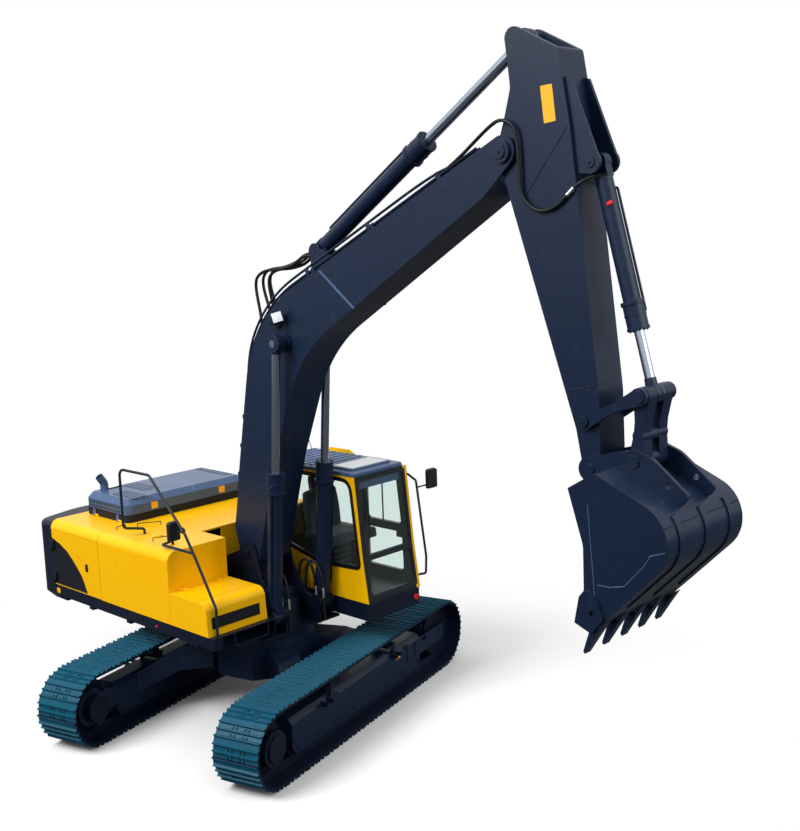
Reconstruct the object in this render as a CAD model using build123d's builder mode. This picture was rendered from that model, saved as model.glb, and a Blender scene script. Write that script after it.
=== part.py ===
from build123d import *
from math import atan2, cos, degrees, hypot, pi, radians, sin
import os

# Crawler excavator of the thirty tonne class, in millimetres.
# The frame is the upper structure's: X forward along the boom, Y to the left, Z up,
# with its origin on the ground under the swing centre.

# Running clearances
RUN = 6.0
SEAT = 0.3
PIN_RUN = 0.5

# Undercarriage
SWING_ANGLE = 104.7
TRACK_GAUGE = 2590.0
SHOE_WIDTH = 600.0
TUMBLER_DISTANCE = 4020.0
TRACK_OFFSET = 28.0
SHOE_COUNT = 50
PITCH_RADIUS = 360.0
PLATE_IN = 40.0
PLATE_OUT = 70.0
GROUSER = 26.0
LINK_DEPTH = 57.0
LINK_WIDTH = 45.0
LINK_GAP = 100.0
SPROCKET_TEETH = 21
TOOTH_DEPTH = 45.0
ROLLER_COUNT = 8
ROLLER_RADIUS = 88.0
CARRIER_RADIUS = 68.0
SIDE_FRAME_WIDTH = 330.0
SIDE_FRAME_LOW = 270.0
SIDE_FRAME_HIGH = 640.0
CENTRE_BOX = 1240.0
CENTRE_LOW = 520.0
CENTRE_TOP = 945.0
RING_RADIUS = 640.0
RING_WALL = 90.0
RING_HEIGHT = 140.0

# Upper frame and bodywork
UPPER_WIDTH = 2900.0
FLOOR_HEIGHT = 1130.0
FLOOR_PLATE = 30.0
RAIL_LOW = 1270.0
BODY_LOW = 1420.0
BODY_TOP = 2300.0
BODY_REAR = -2560.0
DECK_NOSE = 870.0
DOOR_SEAM = -1430.0
TANK_FRONT = 67.0
TANK_INNER = -570.0
DECK_FRONT = 790.0
BAY_FRONT = -420.0
TOOLBOX_TOP = 1810.0
LID_FRONT = 590.0
TOOLBOX_ROUND = 110.0
LID_REAR = 100.0
PANEL = 20.0
SHOULDER = 120.0
COUNTERWEIGHT_REAR = -3080.0
COUNTERWEIGHT_LOW = 1170.0
COUNTERWEIGHT_ROUND = 60.0
COUNTERWEIGHT_UNDERCUT = 110.0
LIFT_X = -2830.0
LIFT_Y = 700.0
LIFT_RADIUS = 18.0
LIFT_DEPTH = 90.0
WEB_INNER = 262.0
WEB = 30.0

# Engine
ENGINE_X = -2060.0
ENGINE_Y = -150.0
ENGINE_LENGTH = 740.0
ENGINE_WIDTH = 1200.0
ENGINE_HEIGHT = 720.0

# Engine hood
HOOD_FRONT = -1500.0
HOOD_REAR = -2500.0
HOOD_RIGHT = -930.0
HOOD_LEFT = 1050.0
HOOD_TOP = 2600.0
HOOD_SEAM = 2300.0 + SEAT
HOOD_WALL = 20.0
HOOD_CORNER = 110.0
HOOD_BEVEL = 75.0
STACK_X = -2370.0
STACK_Y = -700.0
STACK_RADIUS = 55.0
STACK_WALL = 6.0
STACK_SLOT = 352.0
STACK_BEND = 2690.0
STACK_TOP = 2790.0
STACK_LEAN = 70.0

# Hinges: knuckle radius and length, height of the axis over the face, leaf
HINGE_RADIUS = 11.0
HINGE_RISE = 16.0
HINGE_LEAF = 70.0
KNUCKLE = 60.0
SINK = 2.0

# Cab
CAB_WIDTH = 930.0
CAB_LEFT = UPPER_WIDTH / 2 + 5.0
CAB_RIGHT = CAB_LEFT - CAB_WIDTH
CAB_REAR = -450.0
CAB_FLOOR = 1430.0
CAB_ROOF = 2990.0
CAB_WALL = 45.0
CAB_BASE_LOW = 1210.0
CAB_TOE = 1415.0
CAB_KNEE_X = 1335.0
CAB_KNEE_Z = 2000.0
CAB_BROW = 1240.0
ROOF_CROWN = 46.0
GLASS = 6.0
DOOR_REAR = 470.0
DOOR_FRONT = 1230.0
DOOR_LOW = 1460.0
DOOR_HIGH = 2920.0
DOOR_THICK = 40.0

# Boom, in its own plane: along from foot pin to tip pin, and up from that line
BOOM_FOOT = (130.0, 2060.0)
BOOM_ANGLE = 48.26
BOOM_LENGTH = 6176.0
BOOM_WIDTH = 500.0
BOOM_PLATE = 22.0
FOOT_RADIUS = 190.0
TIP_RADIUS = 150.0
BOOM_ROD_PIN = (2565.0, 1110.0)
ARM_BASE_PIN = (3600.0, 1500.0)

# Cylinders
BOOM_BASE_PIN = (720.0, 1375.0)
BOOM_CYLINDER_Y = 395.0
BOOM_BARREL = 93.0
BOOM_ROD = 50.0
BOOM_GLAND = 110.0
ARM_BARREL = 95.0
ARM_ROD = 55.0
ARM_GLAND = 115.0
BUCKET_BARREL = 82.0
BUCKET_ROD = 47.0
BUCKET_GLAND = 98.0
BORE_RUN = 0.4

# Arm, in its own plane: along from boom pin to bucket pin, and out from that line
ARM_ANGLE = -72.08
ARM_LENGTH = 3097.0
ARM_WIDTH = 400.0
ARM_PLATE = 20.0
ARM_EYE_PIN = (-934.0, 433.0)
BUCKET_BASE_PIN = (433.0, 843.0)
GUIDE_PIN = (ARM_LENGTH - 442.0, 90.0)
LINK_PIN = (ARM_LENGTH - 520.0, 727.0)

# Bucket, in an upright plane with its origin at the arm's bucket pin
BUCKET_HALF = 650.0
BUCKET_SHELL = 26.0
BUCKET_EAR_PIN = (478.0, 127.0)
TOOTH_COUNT = 5
PIN_RADIUS = 45.0
BOOM_LUG_Y = 62.0
BOOM_LUG = 38.0
FORK_DEPTH = 440.0
ARM_EAR = 42.0
BUCKET_LUG_Y = 130.0
BUCKET_LUG = 34.0
GUIDE_INNER = 210.0
GUIDE_OUTER = 252.0
LINK_INNER = 60.0
LINK_OUTER = 203.0
BUCKET_SIDE = 30.0
EAR_INNER = 208.0
EAR_THICK = 40.0
TOOTH_WIDTH = 95.0


def side(frame, y):
    """Upright plane along the frame's X at distance y to the left, sketched X forward and Y up."""
    return Plane(origin=frame.from_local_coords((0, y, 0)), x_dir=frame.x_dir, z_dir=-frame.y_dir)


def level(frame, z):
    """Level plane of the frame at height z."""
    return frame.offset(z)


def front(frame, x):
    """Upright plane across the frame at distance x forward, sketched X to the left and Y up."""
    return Plane(origin=frame.from_local_coords((x, 0, 0)), x_dir=frame.y_dir, z_dir=frame.x_dir)


def in_plane(origin, angle):
    """Plane in the machine's centre, its X turned up by angle from forward."""
    return Plane(
        origin=(origin[0], 0, origin[1]),
        x_dir=(cos(radians(angle)), 0, sin(radians(angle))),
        z_dir=(0, -1, 0),
    )


def world(plane, point):
    """Forward and up place of a plane's point."""
    place = plane.from_local_coords((point[0], point[1], 0))
    return (place.X, place.Z)


def span(a, b):
    """Distance and angle in degrees from one forward-and-up place to another."""
    return hypot(b[0] - a[0], b[1] - a[1]), degrees(atan2(b[1] - a[1], b[0] - a[0]))


def inset(corners, margin):
    """Corner table (x, y, radius) of a clockwise outline, drawn in by a margin."""
    drawn = []
    count = len(corners)
    for i in range(count):
        before, here, after = corners[i - 1], corners[i], corners[(i + 1) % count]
        _, angle_in = span(before, here)
        _, angle_out = span(here, after)
        turn = (angle_out - angle_in + 180) % 360 - 180
        middle = radians(angle_in + turn / 2 - 90)
        reach = margin / cos(radians(turn / 2))
        radius = here[2] - margin if turn < 0 else here[2] + margin
        drawn.append((here[0] + reach * cos(middle), here[1] + reach * sin(middle), max(radius, 0) if here[2] else 0))
    return drawn


def rounded(corners):
    """Edges of a closed outline through a corner table of x, y and radius."""
    with BuildLine() as line:
        FilletPolyline(*[(x, y) for x, y, _ in corners], radius=[r for _, _, r in corners], close=True)
    return line.edges()


MACHINE = Plane.XY
UNDER = Plane(
    origin=(0, 0, 0),
    x_dir=(cos(radians(SWING_ANGLE)), sin(radians(SWING_ANGLE)), 0),
    z_dir=(0, 0, 1),
)
BOOM = in_plane(BOOM_FOOT, BOOM_ANGLE)
ARM_PIN = world(BOOM, (BOOM_LENGTH, 0))
ARM = in_plane(ARM_PIN, ARM_ANGLE)
BUCKET_PIN = world(ARM, (ARM_LENGTH, 0))
BUCKET = in_plane(BUCKET_PIN, 0)


def save(part, name, colour):
    """Label a finished piece and write it as its own STEP file."""
    part.label = name
    part.color = Color(*colour)
    export_step(part, os.path.join("parts", name + ".step"))


def knuckle(axis, start, leaf, low):
    """Hinge knuckle about the axis plane's Z from a start, its leaf along X sunk into a face below."""
    with BuildPart() as piece:
        with BuildSketch(axis.offset(start)):
            Circle(HINGE_RADIUS)
            with Locations((leaf / 2, (SINK - low) / 2)):
                Rectangle(abs(leaf), low - SINK)
            with Locations((leaf * 0.65, -low / 2)):
                Rectangle(abs(leaf) * 0.7, low)
        extrude(amount=KNUCKLE)
    return piece.part


def tube(corners, radius, bend):
    """Round bar through points in space, its corners bent to a radius."""
    with BuildPart() as bar:
        with BuildLine() as path:
            FilletPolyline(*corners, radius=bend)
        with BuildSketch(Plane(origin=path.line @ 0, z_dir=path.line % 0)):
            Circle(radius)
        sweep()
    return bar.part


NAVY = (0.08, 0.10, 0.17)
YELLOW = (0.98, 0.72, 0.05)
CHARCOAL = (0.13, 0.15, 0.21)
SLATE = (0.30, 0.36, 0.47)
CHROME = (0.80, 0.82, 0.85)
GREY = (0.30, 0.30, 0.32)
CLEAR = (0.75, 0.86, 0.86, 0.35)

os.makedirs("parts", exist_ok=True)

# Track shoes and chain
AXLE_HEIGHT = PITCH_RADIUS + PLATE_OUT + GROUSER
HALF_TUMBLER = TUMBLER_DISTANCE / 2
LOOP_LENGTH = 2 * TUMBLER_DISTANCE + 2 * pi * PITCH_RADIUS
SHOE_PITCH = LOOP_LENGTH / SHOE_COUNT
GROUSER_PLACES = (0.03, 0.42, 0.81)
GROUSER_FOOT = 0.16
GROUSER_TIP = 0.055


def loop_point(distance):
    """Point on the pitch line of the track, counted from the top of the rear wheel forwards."""
    distance = distance % LOOP_LENGTH
    turn = pi * PITCH_RADIUS
    if distance < TUMBLER_DISTANCE:
        return (distance - HALF_TUMBLER, AXLE_HEIGHT + PITCH_RADIUS)
    distance = distance - TUMBLER_DISTANCE
    if distance < turn:
        a = pi / 2 - distance / PITCH_RADIUS
        return (HALF_TUMBLER + PITCH_RADIUS * cos(a), AXLE_HEIGHT + PITCH_RADIUS * sin(a))
    distance = distance - turn
    if distance < TUMBLER_DISTANCE:
        return (HALF_TUMBLER - distance, AXLE_HEIGHT - PITCH_RADIUS)
    a = -pi / 2 - (distance - TUMBLER_DISTANCE) / PITCH_RADIUS
    return (-HALF_TUMBLER + PITCH_RADIUS * cos(a), AXLE_HEIGHT + PITCH_RADIUS * sin(a))


def shoe_outline():
    """Outer outline of the whole track, three grousers to each shoe."""
    outline = []
    for shoe in range(SHOE_COUNT):
        a = loop_point(shoe * SHOE_PITCH)
        b = loop_point((shoe + 1) * SHOE_PITCH)
        length, angle = span(a, b)
        along = (cos(radians(angle)), sin(radians(angle)))
        out = (-along[1], along[0])
        for place in GROUSER_PLACES:
            foot = place * length
            tip = foot + (GROUSER_FOOT - GROUSER_TIP) / 2 * length
            profile = (
                (foot, PLATE_OUT),
                (tip, PLATE_OUT + GROUSER),
                (tip + GROUSER_TIP * length, PLATE_OUT + GROUSER),
                (foot + GROUSER_FOOT * length, PLATE_OUT),
            )
            for s, n in profile:
                x = a[0] + along[0] * s + out[0] * n
                z = a[1] + along[1] * s + out[1] * n
                outline.append((x + TRACK_OFFSET, z))
    return outline


def stadium(radius):
    """Loop face of one end radius about both track wheels."""
    with Locations((TRACK_OFFSET, AXLE_HEIGHT)):
        Rectangle(TUMBLER_DISTANCE, 2 * radius)
    with Locations((TRACK_OFFSET - HALF_TUMBLER, AXLE_HEIGHT), (TRACK_OFFSET + HALF_TUMBLER, AXLE_HEIGHT)):
        Circle(radius)


BAND_RADIUS = PITCH_RADIUS + PLATE_IN
RAIL_RADIUS = PITCH_RADIUS - LINK_DEPTH
TRACK_OUTLINE = shoe_outline()
HALF_GAUGE = TRACK_GAUGE / 2
LINK_ROW = LINK_GAP / 2 + LINK_WIDTH / 2

for name, y in (("track_near", -HALF_GAUGE), ("track_far", HALF_GAUGE)):
    with BuildPart() as track:
        with BuildSketch(side(UNDER, y)) as shoes:
            with BuildLine():
                Polyline(*TRACK_OUTLINE, close=True)
            make_face()
        extrude(amount=SHOE_WIDTH / 2, both=True)
        with BuildSketch(side(UNDER, y)):
            stadium(BAND_RADIUS)
        extrude(amount=SHOE_WIDTH, both=True, mode=Mode.SUBTRACT)
        for row in (-LINK_ROW, LINK_ROW):
            with BuildSketch(side(UNDER, y + row)) as links:
                stadium(BAND_RADIUS + 5)
            extrude(amount=LINK_WIDTH / 2, both=True)
            with BuildSketch(side(UNDER, y + row)):
                stadium(RAIL_RADIUS)
            extrude(amount=LINK_WIDTH / 2, both=True, mode=Mode.SUBTRACT)
    save(track.part, name, CHARCOAL)

# Sprockets with final drives at the rear, idlers at the front
SPROCKET_HALF = LINK_GAP / 2 - 6
TOOTH_ROOT = PITCH_RADIUS - 25
HUB_RADIUS = 205.0
HUB_REACH = 235.0
HUB_COVER = 150.0
HUB_COVER_REACH = 262.0
MOTOR_REACH = 290.0
MOTOR_RADIUS = 165.0

with BuildPart() as sprockets:
    for y in (-HALF_GAUGE, HALF_GAUGE):
        outward = 1 if y > 0 else -1
        centre = (TRACK_OFFSET - HALF_TUMBLER, AXLE_HEIGHT)
        with BuildSketch(side(UNDER, y)) as wheel:
            with Locations(centre):
                Circle(TOOTH_ROOT)
                with PolarLocations(TOOTH_ROOT, SPROCKET_TEETH):
                    Trapezoid(TOOTH_DEPTH + 20, 62, 70, rotation=-90)
        extrude(amount=SPROCKET_HALF, both=True)
        with BuildSketch(side(UNDER, y)):
            with Locations(centre):
                Circle(HUB_RADIUS)
        extrude(amount=-outward * HUB_REACH)
        with BuildSketch(side(UNDER, y)):
            with Locations(centre):
                Circle(HUB_COVER)
        extrude(amount=-outward * HUB_COVER_REACH)
        with BuildSketch(side(UNDER, y)):
            with Locations(centre):
                Circle(MOTOR_RADIUS)
        extrude(amount=outward * MOTOR_REACH)
save(sprockets.part, "sprockets", CHARCOAL)

IDLER_FLANGE = 22.0
AXLE_SHORT = 4.0
with BuildPart() as idlers:
    for y in (-HALF_GAUGE, HALF_GAUGE):
        centre = (TRACK_OFFSET + HALF_TUMBLER, AXLE_HEIGHT)
        with BuildSketch(side(UNDER, y)):
            with Locations(centre):
                Circle(RAIL_RADIUS - SEAT)
        extrude(amount=LINK_GAP / 2 + LINK_WIDTH, both=True)
        with BuildSketch(side(UNDER, y)):
            with Locations(centre):
                Circle(RAIL_RADIUS + IDLER_FLANGE)
        extrude(amount=SPROCKET_HALF, both=True)
        with BuildSketch(side(UNDER, y)):
            with Locations(centre):
                Circle(60)
        extrude(amount=SIDE_FRAME_WIDTH / 2 - AXLE_SHORT, both=True)
save(idlers.part, "idlers", CHARCOAL)

# Rollers under and over the side frames
RAIL_FLOOR = AXLE_HEIGHT - RAIL_RADIUS
RAIL_CEILING = AXLE_HEIGHT + RAIL_RADIUS
ROLLER_HEIGHT = RAIL_FLOOR + ROLLER_RADIUS + SEAT
CARRIER_HEIGHT = RAIL_CEILING - CARRIER_RADIUS - SEAT
FRAME_REAR = TRACK_OFFSET - HALF_TUMBLER + 422.0
FRAME_FRONT = TRACK_OFFSET + HALF_TUMBLER - 538.0
ROLLER_FIRST = FRAME_REAR + 80.0
ROLLER_LAST = FRAME_FRONT - 100.0
ROLLER_STEP = (ROLLER_LAST - ROLLER_FIRST) / (ROLLER_COUNT - 1)
CARRIER_PLACES = (ROLLER_FIRST + 780.0, ROLLER_LAST - 600.0)
ROLLER_PLACES = []
for i in range(ROLLER_COUNT):
    ROLLER_PLACES.append((ROLLER_FIRST + i * ROLLER_STEP, ROLLER_HEIGHT, ROLLER_RADIUS))
for x in CARRIER_PLACES:
    ROLLER_PLACES.append((x, CARRIER_HEIGHT, CARRIER_RADIUS))
with BuildPart() as rollers:
    for y in (-HALF_GAUGE, HALF_GAUGE):
        for x, z, radius in ROLLER_PLACES:
            with BuildSketch(side(UNDER, y)):
                with Locations((x, z)):
                    Circle(radius)
            extrude(amount=LINK_GAP / 2 + LINK_WIDTH, both=True)
            with BuildSketch(side(UNDER, y)):
                with Locations((x, z)):
                    Circle(radius / 3)
            extrude(amount=SIDE_FRAME_WIDTH / 2 - AXLE_SHORT, both=True)
save(rollers.part, "track_rollers", CHARCOAL)

# Side frames: sloped box beams between the runs, with roller guards and an idler yoke
FRAME_TAPER = 60.0
GUARD_LOW = 170.0
GUARD = 24.0
YOKE_FRONT = TRACK_OFFSET + HALF_TUMBLER + 150
YOKE_SLOT = (FRAME_FRONT + 120.0, SIDE_FRAME_HIGH - 140.0)
STEP_PLACES = (FRAME_REAR + 640.0, FRAME_REAR + 760.0, FRAME_FRONT - 760.0, FRAME_FRONT - 640.0)
STEP_REACH = 85.0
BRACKET_RADIUS = 225.0
BRACKET_HEIGHT = 250.0
STRAP_PLACES = (FRAME_FRONT - 330.0, FRAME_FRONT - 120.0)
STRAP = 10.0
for name, y in (("side_frame_near", -HALF_GAUGE), ("side_frame_far", HALF_GAUGE)):
    with BuildPart() as side_frame:
        with BuildSketch(front(UNDER, FRAME_REAR)) as section:
            with BuildLine():
                Polyline(
                    (y - SIDE_FRAME_WIDTH / 2, SIDE_FRAME_LOW + 70),
                    (y + SIDE_FRAME_WIDTH / 2, SIDE_FRAME_LOW + 70),
                    (y + SIDE_FRAME_WIDTH / 2, SIDE_FRAME_HIGH - 90),
                    (y + SIDE_FRAME_WIDTH / 2 - FRAME_TAPER, SIDE_FRAME_HIGH - 30),
                    (y - SIDE_FRAME_WIDTH / 2 + FRAME_TAPER, SIDE_FRAME_HIGH - 30),
                    (y - SIDE_FRAME_WIDTH / 2, SIDE_FRAME_HIGH - 90),
                    close=True,
                )
            make_face()
        extrude(amount=FRAME_FRONT - FRAME_REAR)
        for edge in (-1, 1):
            guard_y = y + edge * (SIDE_FRAME_WIDTH / 2 - GUARD / 2)
            with BuildSketch(side(UNDER, guard_y)):
                with BuildLine():
                    Polyline(
                        (FRAME_REAR + 60, GUARD_LOW),
                        (FRAME_FRONT - 60, GUARD_LOW),
                        (FRAME_FRONT, SIDE_FRAME_LOW + 60),
                        (YOKE_FRONT, SIDE_FRAME_LOW + 60),
                        (YOKE_FRONT, SIDE_FRAME_HIGH - 90),
                        (FRAME_REAR, SIDE_FRAME_HIGH - 90),
                        (FRAME_REAR, SIDE_FRAME_LOW),
                        close=True,
                    )
                make_face()
            extrude(amount=GUARD / 2, both=True)
            with BuildSketch(side(UNDER, guard_y)):
                with Locations(YOKE_SLOT):
                    SlotOverall(130, 44)
                with Locations((TRACK_OFFSET + HALF_TUMBLER, AXLE_HEIGHT)):
                    Circle(60 + PIN_RUN)
                for x, z, radius in ROLLER_PLACES[:ROLLER_COUNT]:
                    with Locations((x, z)):
                        Circle(radius / 3 + PIN_RUN)
            extrude(amount=GUARD, both=True, mode=Mode.SUBTRACT)
            with BuildSketch(side(UNDER, guard_y)):
                for x in CARRIER_PLACES:
                    with Locations((x, (CARRIER_HEIGHT + SIDE_FRAME_HIGH - 90) / 2)):
                        Rectangle(70, CARRIER_HEIGHT - SIDE_FRAME_HIGH + 160)
            extrude(amount=GUARD / 2, both=True)
            with BuildSketch(side(UNDER, guard_y)):
                for x in CARRIER_PLACES:
                    with Locations((x, CARRIER_HEIGHT)):
                        Circle(CARRIER_RADIUS / 3 + PIN_RUN)
            extrude(amount=GUARD, both=True, mode=Mode.SUBTRACT)
        outward = 1 if y > 0 else -1
        with BuildSketch(side(UNDER, y - outward * (SIDE_FRAME_WIDTH - GUARD) / 2)):
            with Locations((TRACK_OFFSET - HALF_TUMBLER, AXLE_HEIGHT)):
                Circle(BRACKET_RADIUS)
            with Locations(((TRACK_OFFSET - HALF_TUMBLER + FRAME_REAR + 40) / 2, AXLE_HEIGHT)):
                Rectangle(FRAME_REAR + 40 - TRACK_OFFSET + HALF_TUMBLER, BRACKET_HEIGHT)
            with Locations((TRACK_OFFSET - HALF_TUMBLER, AXLE_HEIGHT)):
                Circle(MOTOR_RADIUS + PIN_RUN, mode=Mode.SUBTRACT)
        extrude(amount=GUARD / 2 - 1, both=True)
        outer_y = y + outward * SIDE_FRAME_WIDTH / 2
        for x in STEP_PLACES:
            with BuildSketch(front(UNDER, x - 12)):
                with BuildLine():
                    Polyline(
                        (outer_y - outward * 20, SIDE_FRAME_HIGH - 130),
                        (outer_y + outward * STEP_REACH, SIDE_FRAME_HIGH - 100),
                        (outer_y + outward * STEP_REACH, SIDE_FRAME_HIGH - 60),
                        (outer_y - outward * 20, SIDE_FRAME_HIGH - 60),
                        close=True,
                    )
                make_face()
            extrude(amount=24)
        for x in STRAP_PLACES:
            with BuildSketch(front(UNDER, x - 35)):
                with Locations((outer_y - outward * 5, (SIDE_FRAME_HIGH + SIDE_FRAME_LOW - 20) / 2)):
                    Rectangle(2 * STRAP + 10, SIDE_FRAME_HIGH - SIDE_FRAME_LOW - 160)
            extrude(amount=70)
    save(side_frame.part, name, CHARCOAL)

# Centre box and four arched legs
LEG_OUTER = HALF_GAUGE - SIDE_FRAME_WIDTH / 2 - SEAT
# Sections of a leg: distance from the middle, place along the track, height of its middle,
# length and height
LEG_SECTIONS = (
    (420.0, 300.0, 735.0, 440.0, 370.0),
    (760.0, 560.0, 700.0, 440.0, 300.0),
    (LEG_OUTER, 900.0, 470.0, 540.0, 260.0),
)
with BuildPart() as x_frame:
    with BuildSketch(level(UNDER, CENTRE_LOW)):
        RegularPolygon(CENTRE_BOX / 2 / cos(pi / 8), 8, rotation=22.5)
    extrude(amount=CENTRE_TOP - CENTRE_LOW)
    for lengthways in (-1, 1):
        for sideways in (-1, 1):
            for reach, along, middle, length, height in LEG_SECTIONS:
                with BuildSketch(side(UNDER, sideways * reach)):
                    with Locations((lengthways * along, middle)):
                        Rectangle(length, height)
            loft(ruled=True)
    with BuildSketch(level(UNDER, CENTRE_TOP)):
        Circle(RING_RADIUS)
        Circle(RING_RADIUS - RING_WALL, mode=Mode.SUBTRACT)
    extrude(amount=RING_HEIGHT)
save(x_frame.part, "x_frame", CHARCOAL)

# Revolving frame: turntable, floor plate, two tall webs, rails and cylinder lugs
TURN_LOW = CENTRE_TOP + RING_HEIGHT + SEAT
FLOOR_TOP = FLOOR_HEIGHT + FLOOR_PLATE
LUG_OUTER = 458.0
LUG = 30.0
LUG_RADIUS = 115.0
EYE_HALF = 58.0
RAIL_OUTER = UPPER_WIDTH / 2 - 15
RAIL_WIDTH = 130.0
DECK_LOW = BODY_LOW - 10
DECK_INNER = 430.0
FOOT_LUG = 150.0
CROSS_BEAMS = (-2380.0, -1750.0, -900.0, 480.0)
STEP_PLATE = 20.0
STEP_LOW = 1235.0
STEP_X = (560.0, 850.0)
STEP_Y = (-1120.0, -600.0)
SWING_DRIVE_X = 490.0
SWING_DRIVE_RADIUS = 150.0
SWING_DRIVE_TOP = 1600.0
SWING_DRIVE_STEPS = (
    (SWING_DRIVE_RADIUS + 35, FLOOR_TOP + SEAT, FLOOR_TOP + 45),
    (SWING_DRIVE_RADIUS, FLOOR_TOP + 35, SWING_DRIVE_TOP - 130),
    (SWING_DRIVE_RADIUS - 50, SWING_DRIVE_TOP - 140, SWING_DRIVE_TOP),
)
VALVE_X = (-380.0, -60.0)
VALVE_WIDTH = 440.0
VALVE_TOP = 1620.0
with BuildPart() as main_frame:
    with BuildSketch(level(MACHINE, TURN_LOW)):
        Circle(RING_RADIUS)
    extrude(amount=FLOOR_HEIGHT - TURN_LOW)
    with BuildSketch(level(MACHINE, FLOOR_HEIGHT)):
        with BuildLine():
            Polyline(
                (BODY_REAR + SEAT, -620), (780, -620), (780, 620), (BODY_REAR + SEAT, 620), close=True
            )
        make_face()
    extrude(amount=FLOOR_PLATE)
    for hand in (-1, 1):
        with BuildSketch(side(MACHINE, hand * (WEB_INNER + WEB / 2))) as web:
            with BuildLine():
                Polyline(
                    (BODY_REAR + SEAT, FLOOR_HEIGHT + 5),
                    (800, FLOOR_HEIGHT + 5),
                    (800, 1400),
                    (560, 1500),
                    (330, 1800),
                    (BOOM_FOOT[0] + FOOT_LUG, BOOM_FOOT[1]),
                    (BOOM_FOOT[0] - FOOT_LUG, BOOM_FOOT[1]),
                    (-400, 1900),
                    (-900, 1400),
                    (BODY_REAR + SEAT, 1380),
                    close=True,
                )
            make_face()
            with Locations(BOOM_FOOT):
                Circle(FOOT_LUG)
            with Locations(BOOM_BASE_PIN):
                Circle(LUG_RADIUS)
        extrude(amount=WEB / 2, both=True)
        with BuildSketch(side(MACHINE, hand * (WEB_INNER + WEB - 1))):
            with Locations(BOOM_BASE_PIN):
                Circle(LUG_RADIUS)
        extrude(amount=-hand * (BOOM_CYLINDER_Y - EYE_HALF - PIN_RUN - WEB_INNER - WEB + 1))
        with BuildSketch(side(MACHINE, hand * (LUG_OUTER + LUG / 2))):
            with BuildLine():
                Polyline(
                    (BOOM_BASE_PIN[0] - 260, FLOOR_HEIGHT + 5),
                    (778, FLOOR_HEIGHT + 5),
                    (BOOM_BASE_PIN[0] + LUG_RADIUS - 5, BOOM_BASE_PIN[1]),
                    (BOOM_BASE_PIN[0] - LUG_RADIUS, BOOM_BASE_PIN[1]),
                    close=True,
                )
            make_face()
            with Locations(BOOM_BASE_PIN):
                Circle(LUG_RADIUS)
        extrude(amount=LUG / 2, both=True)
        with BuildSketch(side(MACHINE, hand * BOOM_CYLINDER_Y)):
            with Locations(BOOM_BASE_PIN):
                Circle(PIN_RADIUS)
        extrude(amount=EYE_HALF + 10, both=True)
        rail_front = DECK_NOSE if hand < 0 else CAB_REAR
        with BuildSketch(level(MACHINE, RAIL_LOW)):
            with Locations(((rail_front + BODY_REAR + SEAT) / 2, hand * (RAIL_OUTER - RAIL_WIDTH / 2))):
                Rectangle(rail_front - BODY_REAR - SEAT, RAIL_WIDTH)
        extrude(amount=DECK_LOW - RAIL_LOW)
        for x in CROSS_BEAMS:
            reach = (RAIL_OUTER - 20) if x < CAB_REAR or hand < 0 else CAB_RIGHT - SEAT
            with BuildSketch(level(MACHINE, FLOOR_TOP + 60)):
                with Locations((x, hand * (WEB_INNER + 10 + reach) / 2)):
                    Rectangle(90, reach - WEB_INNER - 10)
            extrude(amount=DECK_LOW - FLOOR_TOP - 70)
    with BuildSketch(level(MACHINE, DECK_LOW - 5)):
        with Locations(((DECK_NOSE + BODY_REAR + SEAT) / 2, -(RAIL_OUTER + DECK_INNER) / 2)):
            Rectangle(DECK_NOSE - BODY_REAR - SEAT, RAIL_OUTER - DECK_INNER)
        with Locations(((CAB_REAR + BODY_REAR + SEAT) / 2, (RAIL_OUTER + DECK_INNER) / 2)):
            Rectangle(CAB_REAR - BODY_REAR - SEAT, RAIL_OUTER - DECK_INNER)
        with Locations(((160 + DECK_NOSE + 10) / 2, -(LUG_OUTER + LUG + DECK_INNER) / 2)):
            Rectangle(DECK_NOSE - 150, LUG_OUTER + LUG - DECK_INNER + 10, mode=Mode.SUBTRACT)
    extrude(amount=BODY_LOW - SEAT - DECK_LOW + 5)
    with BuildSketch(side(MACHINE, 0)):
        with Locations(BOOM_FOOT):
            Circle(PIN_RADIUS)
    extrude(amount=WEB_INNER + WEB + 20, both=True)
    with BuildSketch(level(MACHINE, FLOOR_TOP - 5)):
        with Locations(((VALVE_X[0] + VALVE_X[1]) / 2, 0)):
            Rectangle(VALVE_X[1] - VALVE_X[0], VALVE_WIDTH)
    extrude(amount=VALVE_TOP - FLOOR_TOP + 5)
    with BuildSketch(level(MACHINE, VALVE_TOP - 5)):
        with Locations(((VALVE_X[0] + VALVE_X[1]) / 2, 0)):
            with GridLocations(150, 105, 2, 4):
                Circle(26)
    extrude(amount=45)
    with BuildSketch(front(MACHINE, STEP_X[0])):
        with BuildLine():
            Polyline(
                (STEP_Y[0], STEP_LOW),
                (STEP_Y[1], STEP_LOW),
                (STEP_Y[1], DECK_LOW - 5 - SEAT),
                (STEP_Y[1] - STEP_PLATE, DECK_LOW - 5 - SEAT),
                (STEP_Y[1] - STEP_PLATE, STEP_LOW + STEP_PLATE),
                (STEP_Y[0] + STEP_PLATE, STEP_LOW + STEP_PLATE),
                (STEP_Y[0] + STEP_PLATE, DECK_LOW - 5 - SEAT),
                (STEP_Y[0], DECK_LOW - 5 - SEAT),
                close=True,
            )
        make_face()
    extrude(amount=STEP_X[1] - STEP_X[0])
    with BuildSketch(side(MACHINE, 0)):
        for radius, low, high in SWING_DRIVE_STEPS:
            with Locations((SWING_DRIVE_X + radius / 2, (low + high) / 2)):
                Rectangle(radius, high - low)
    revolve(axis=Axis((SWING_DRIVE_X, 0, 0), (0, 0, 1)))
save(main_frame.part, "main_frame", CHARCOAL)

SIDE_HINGES = (1560.0, 2000.0)


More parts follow.
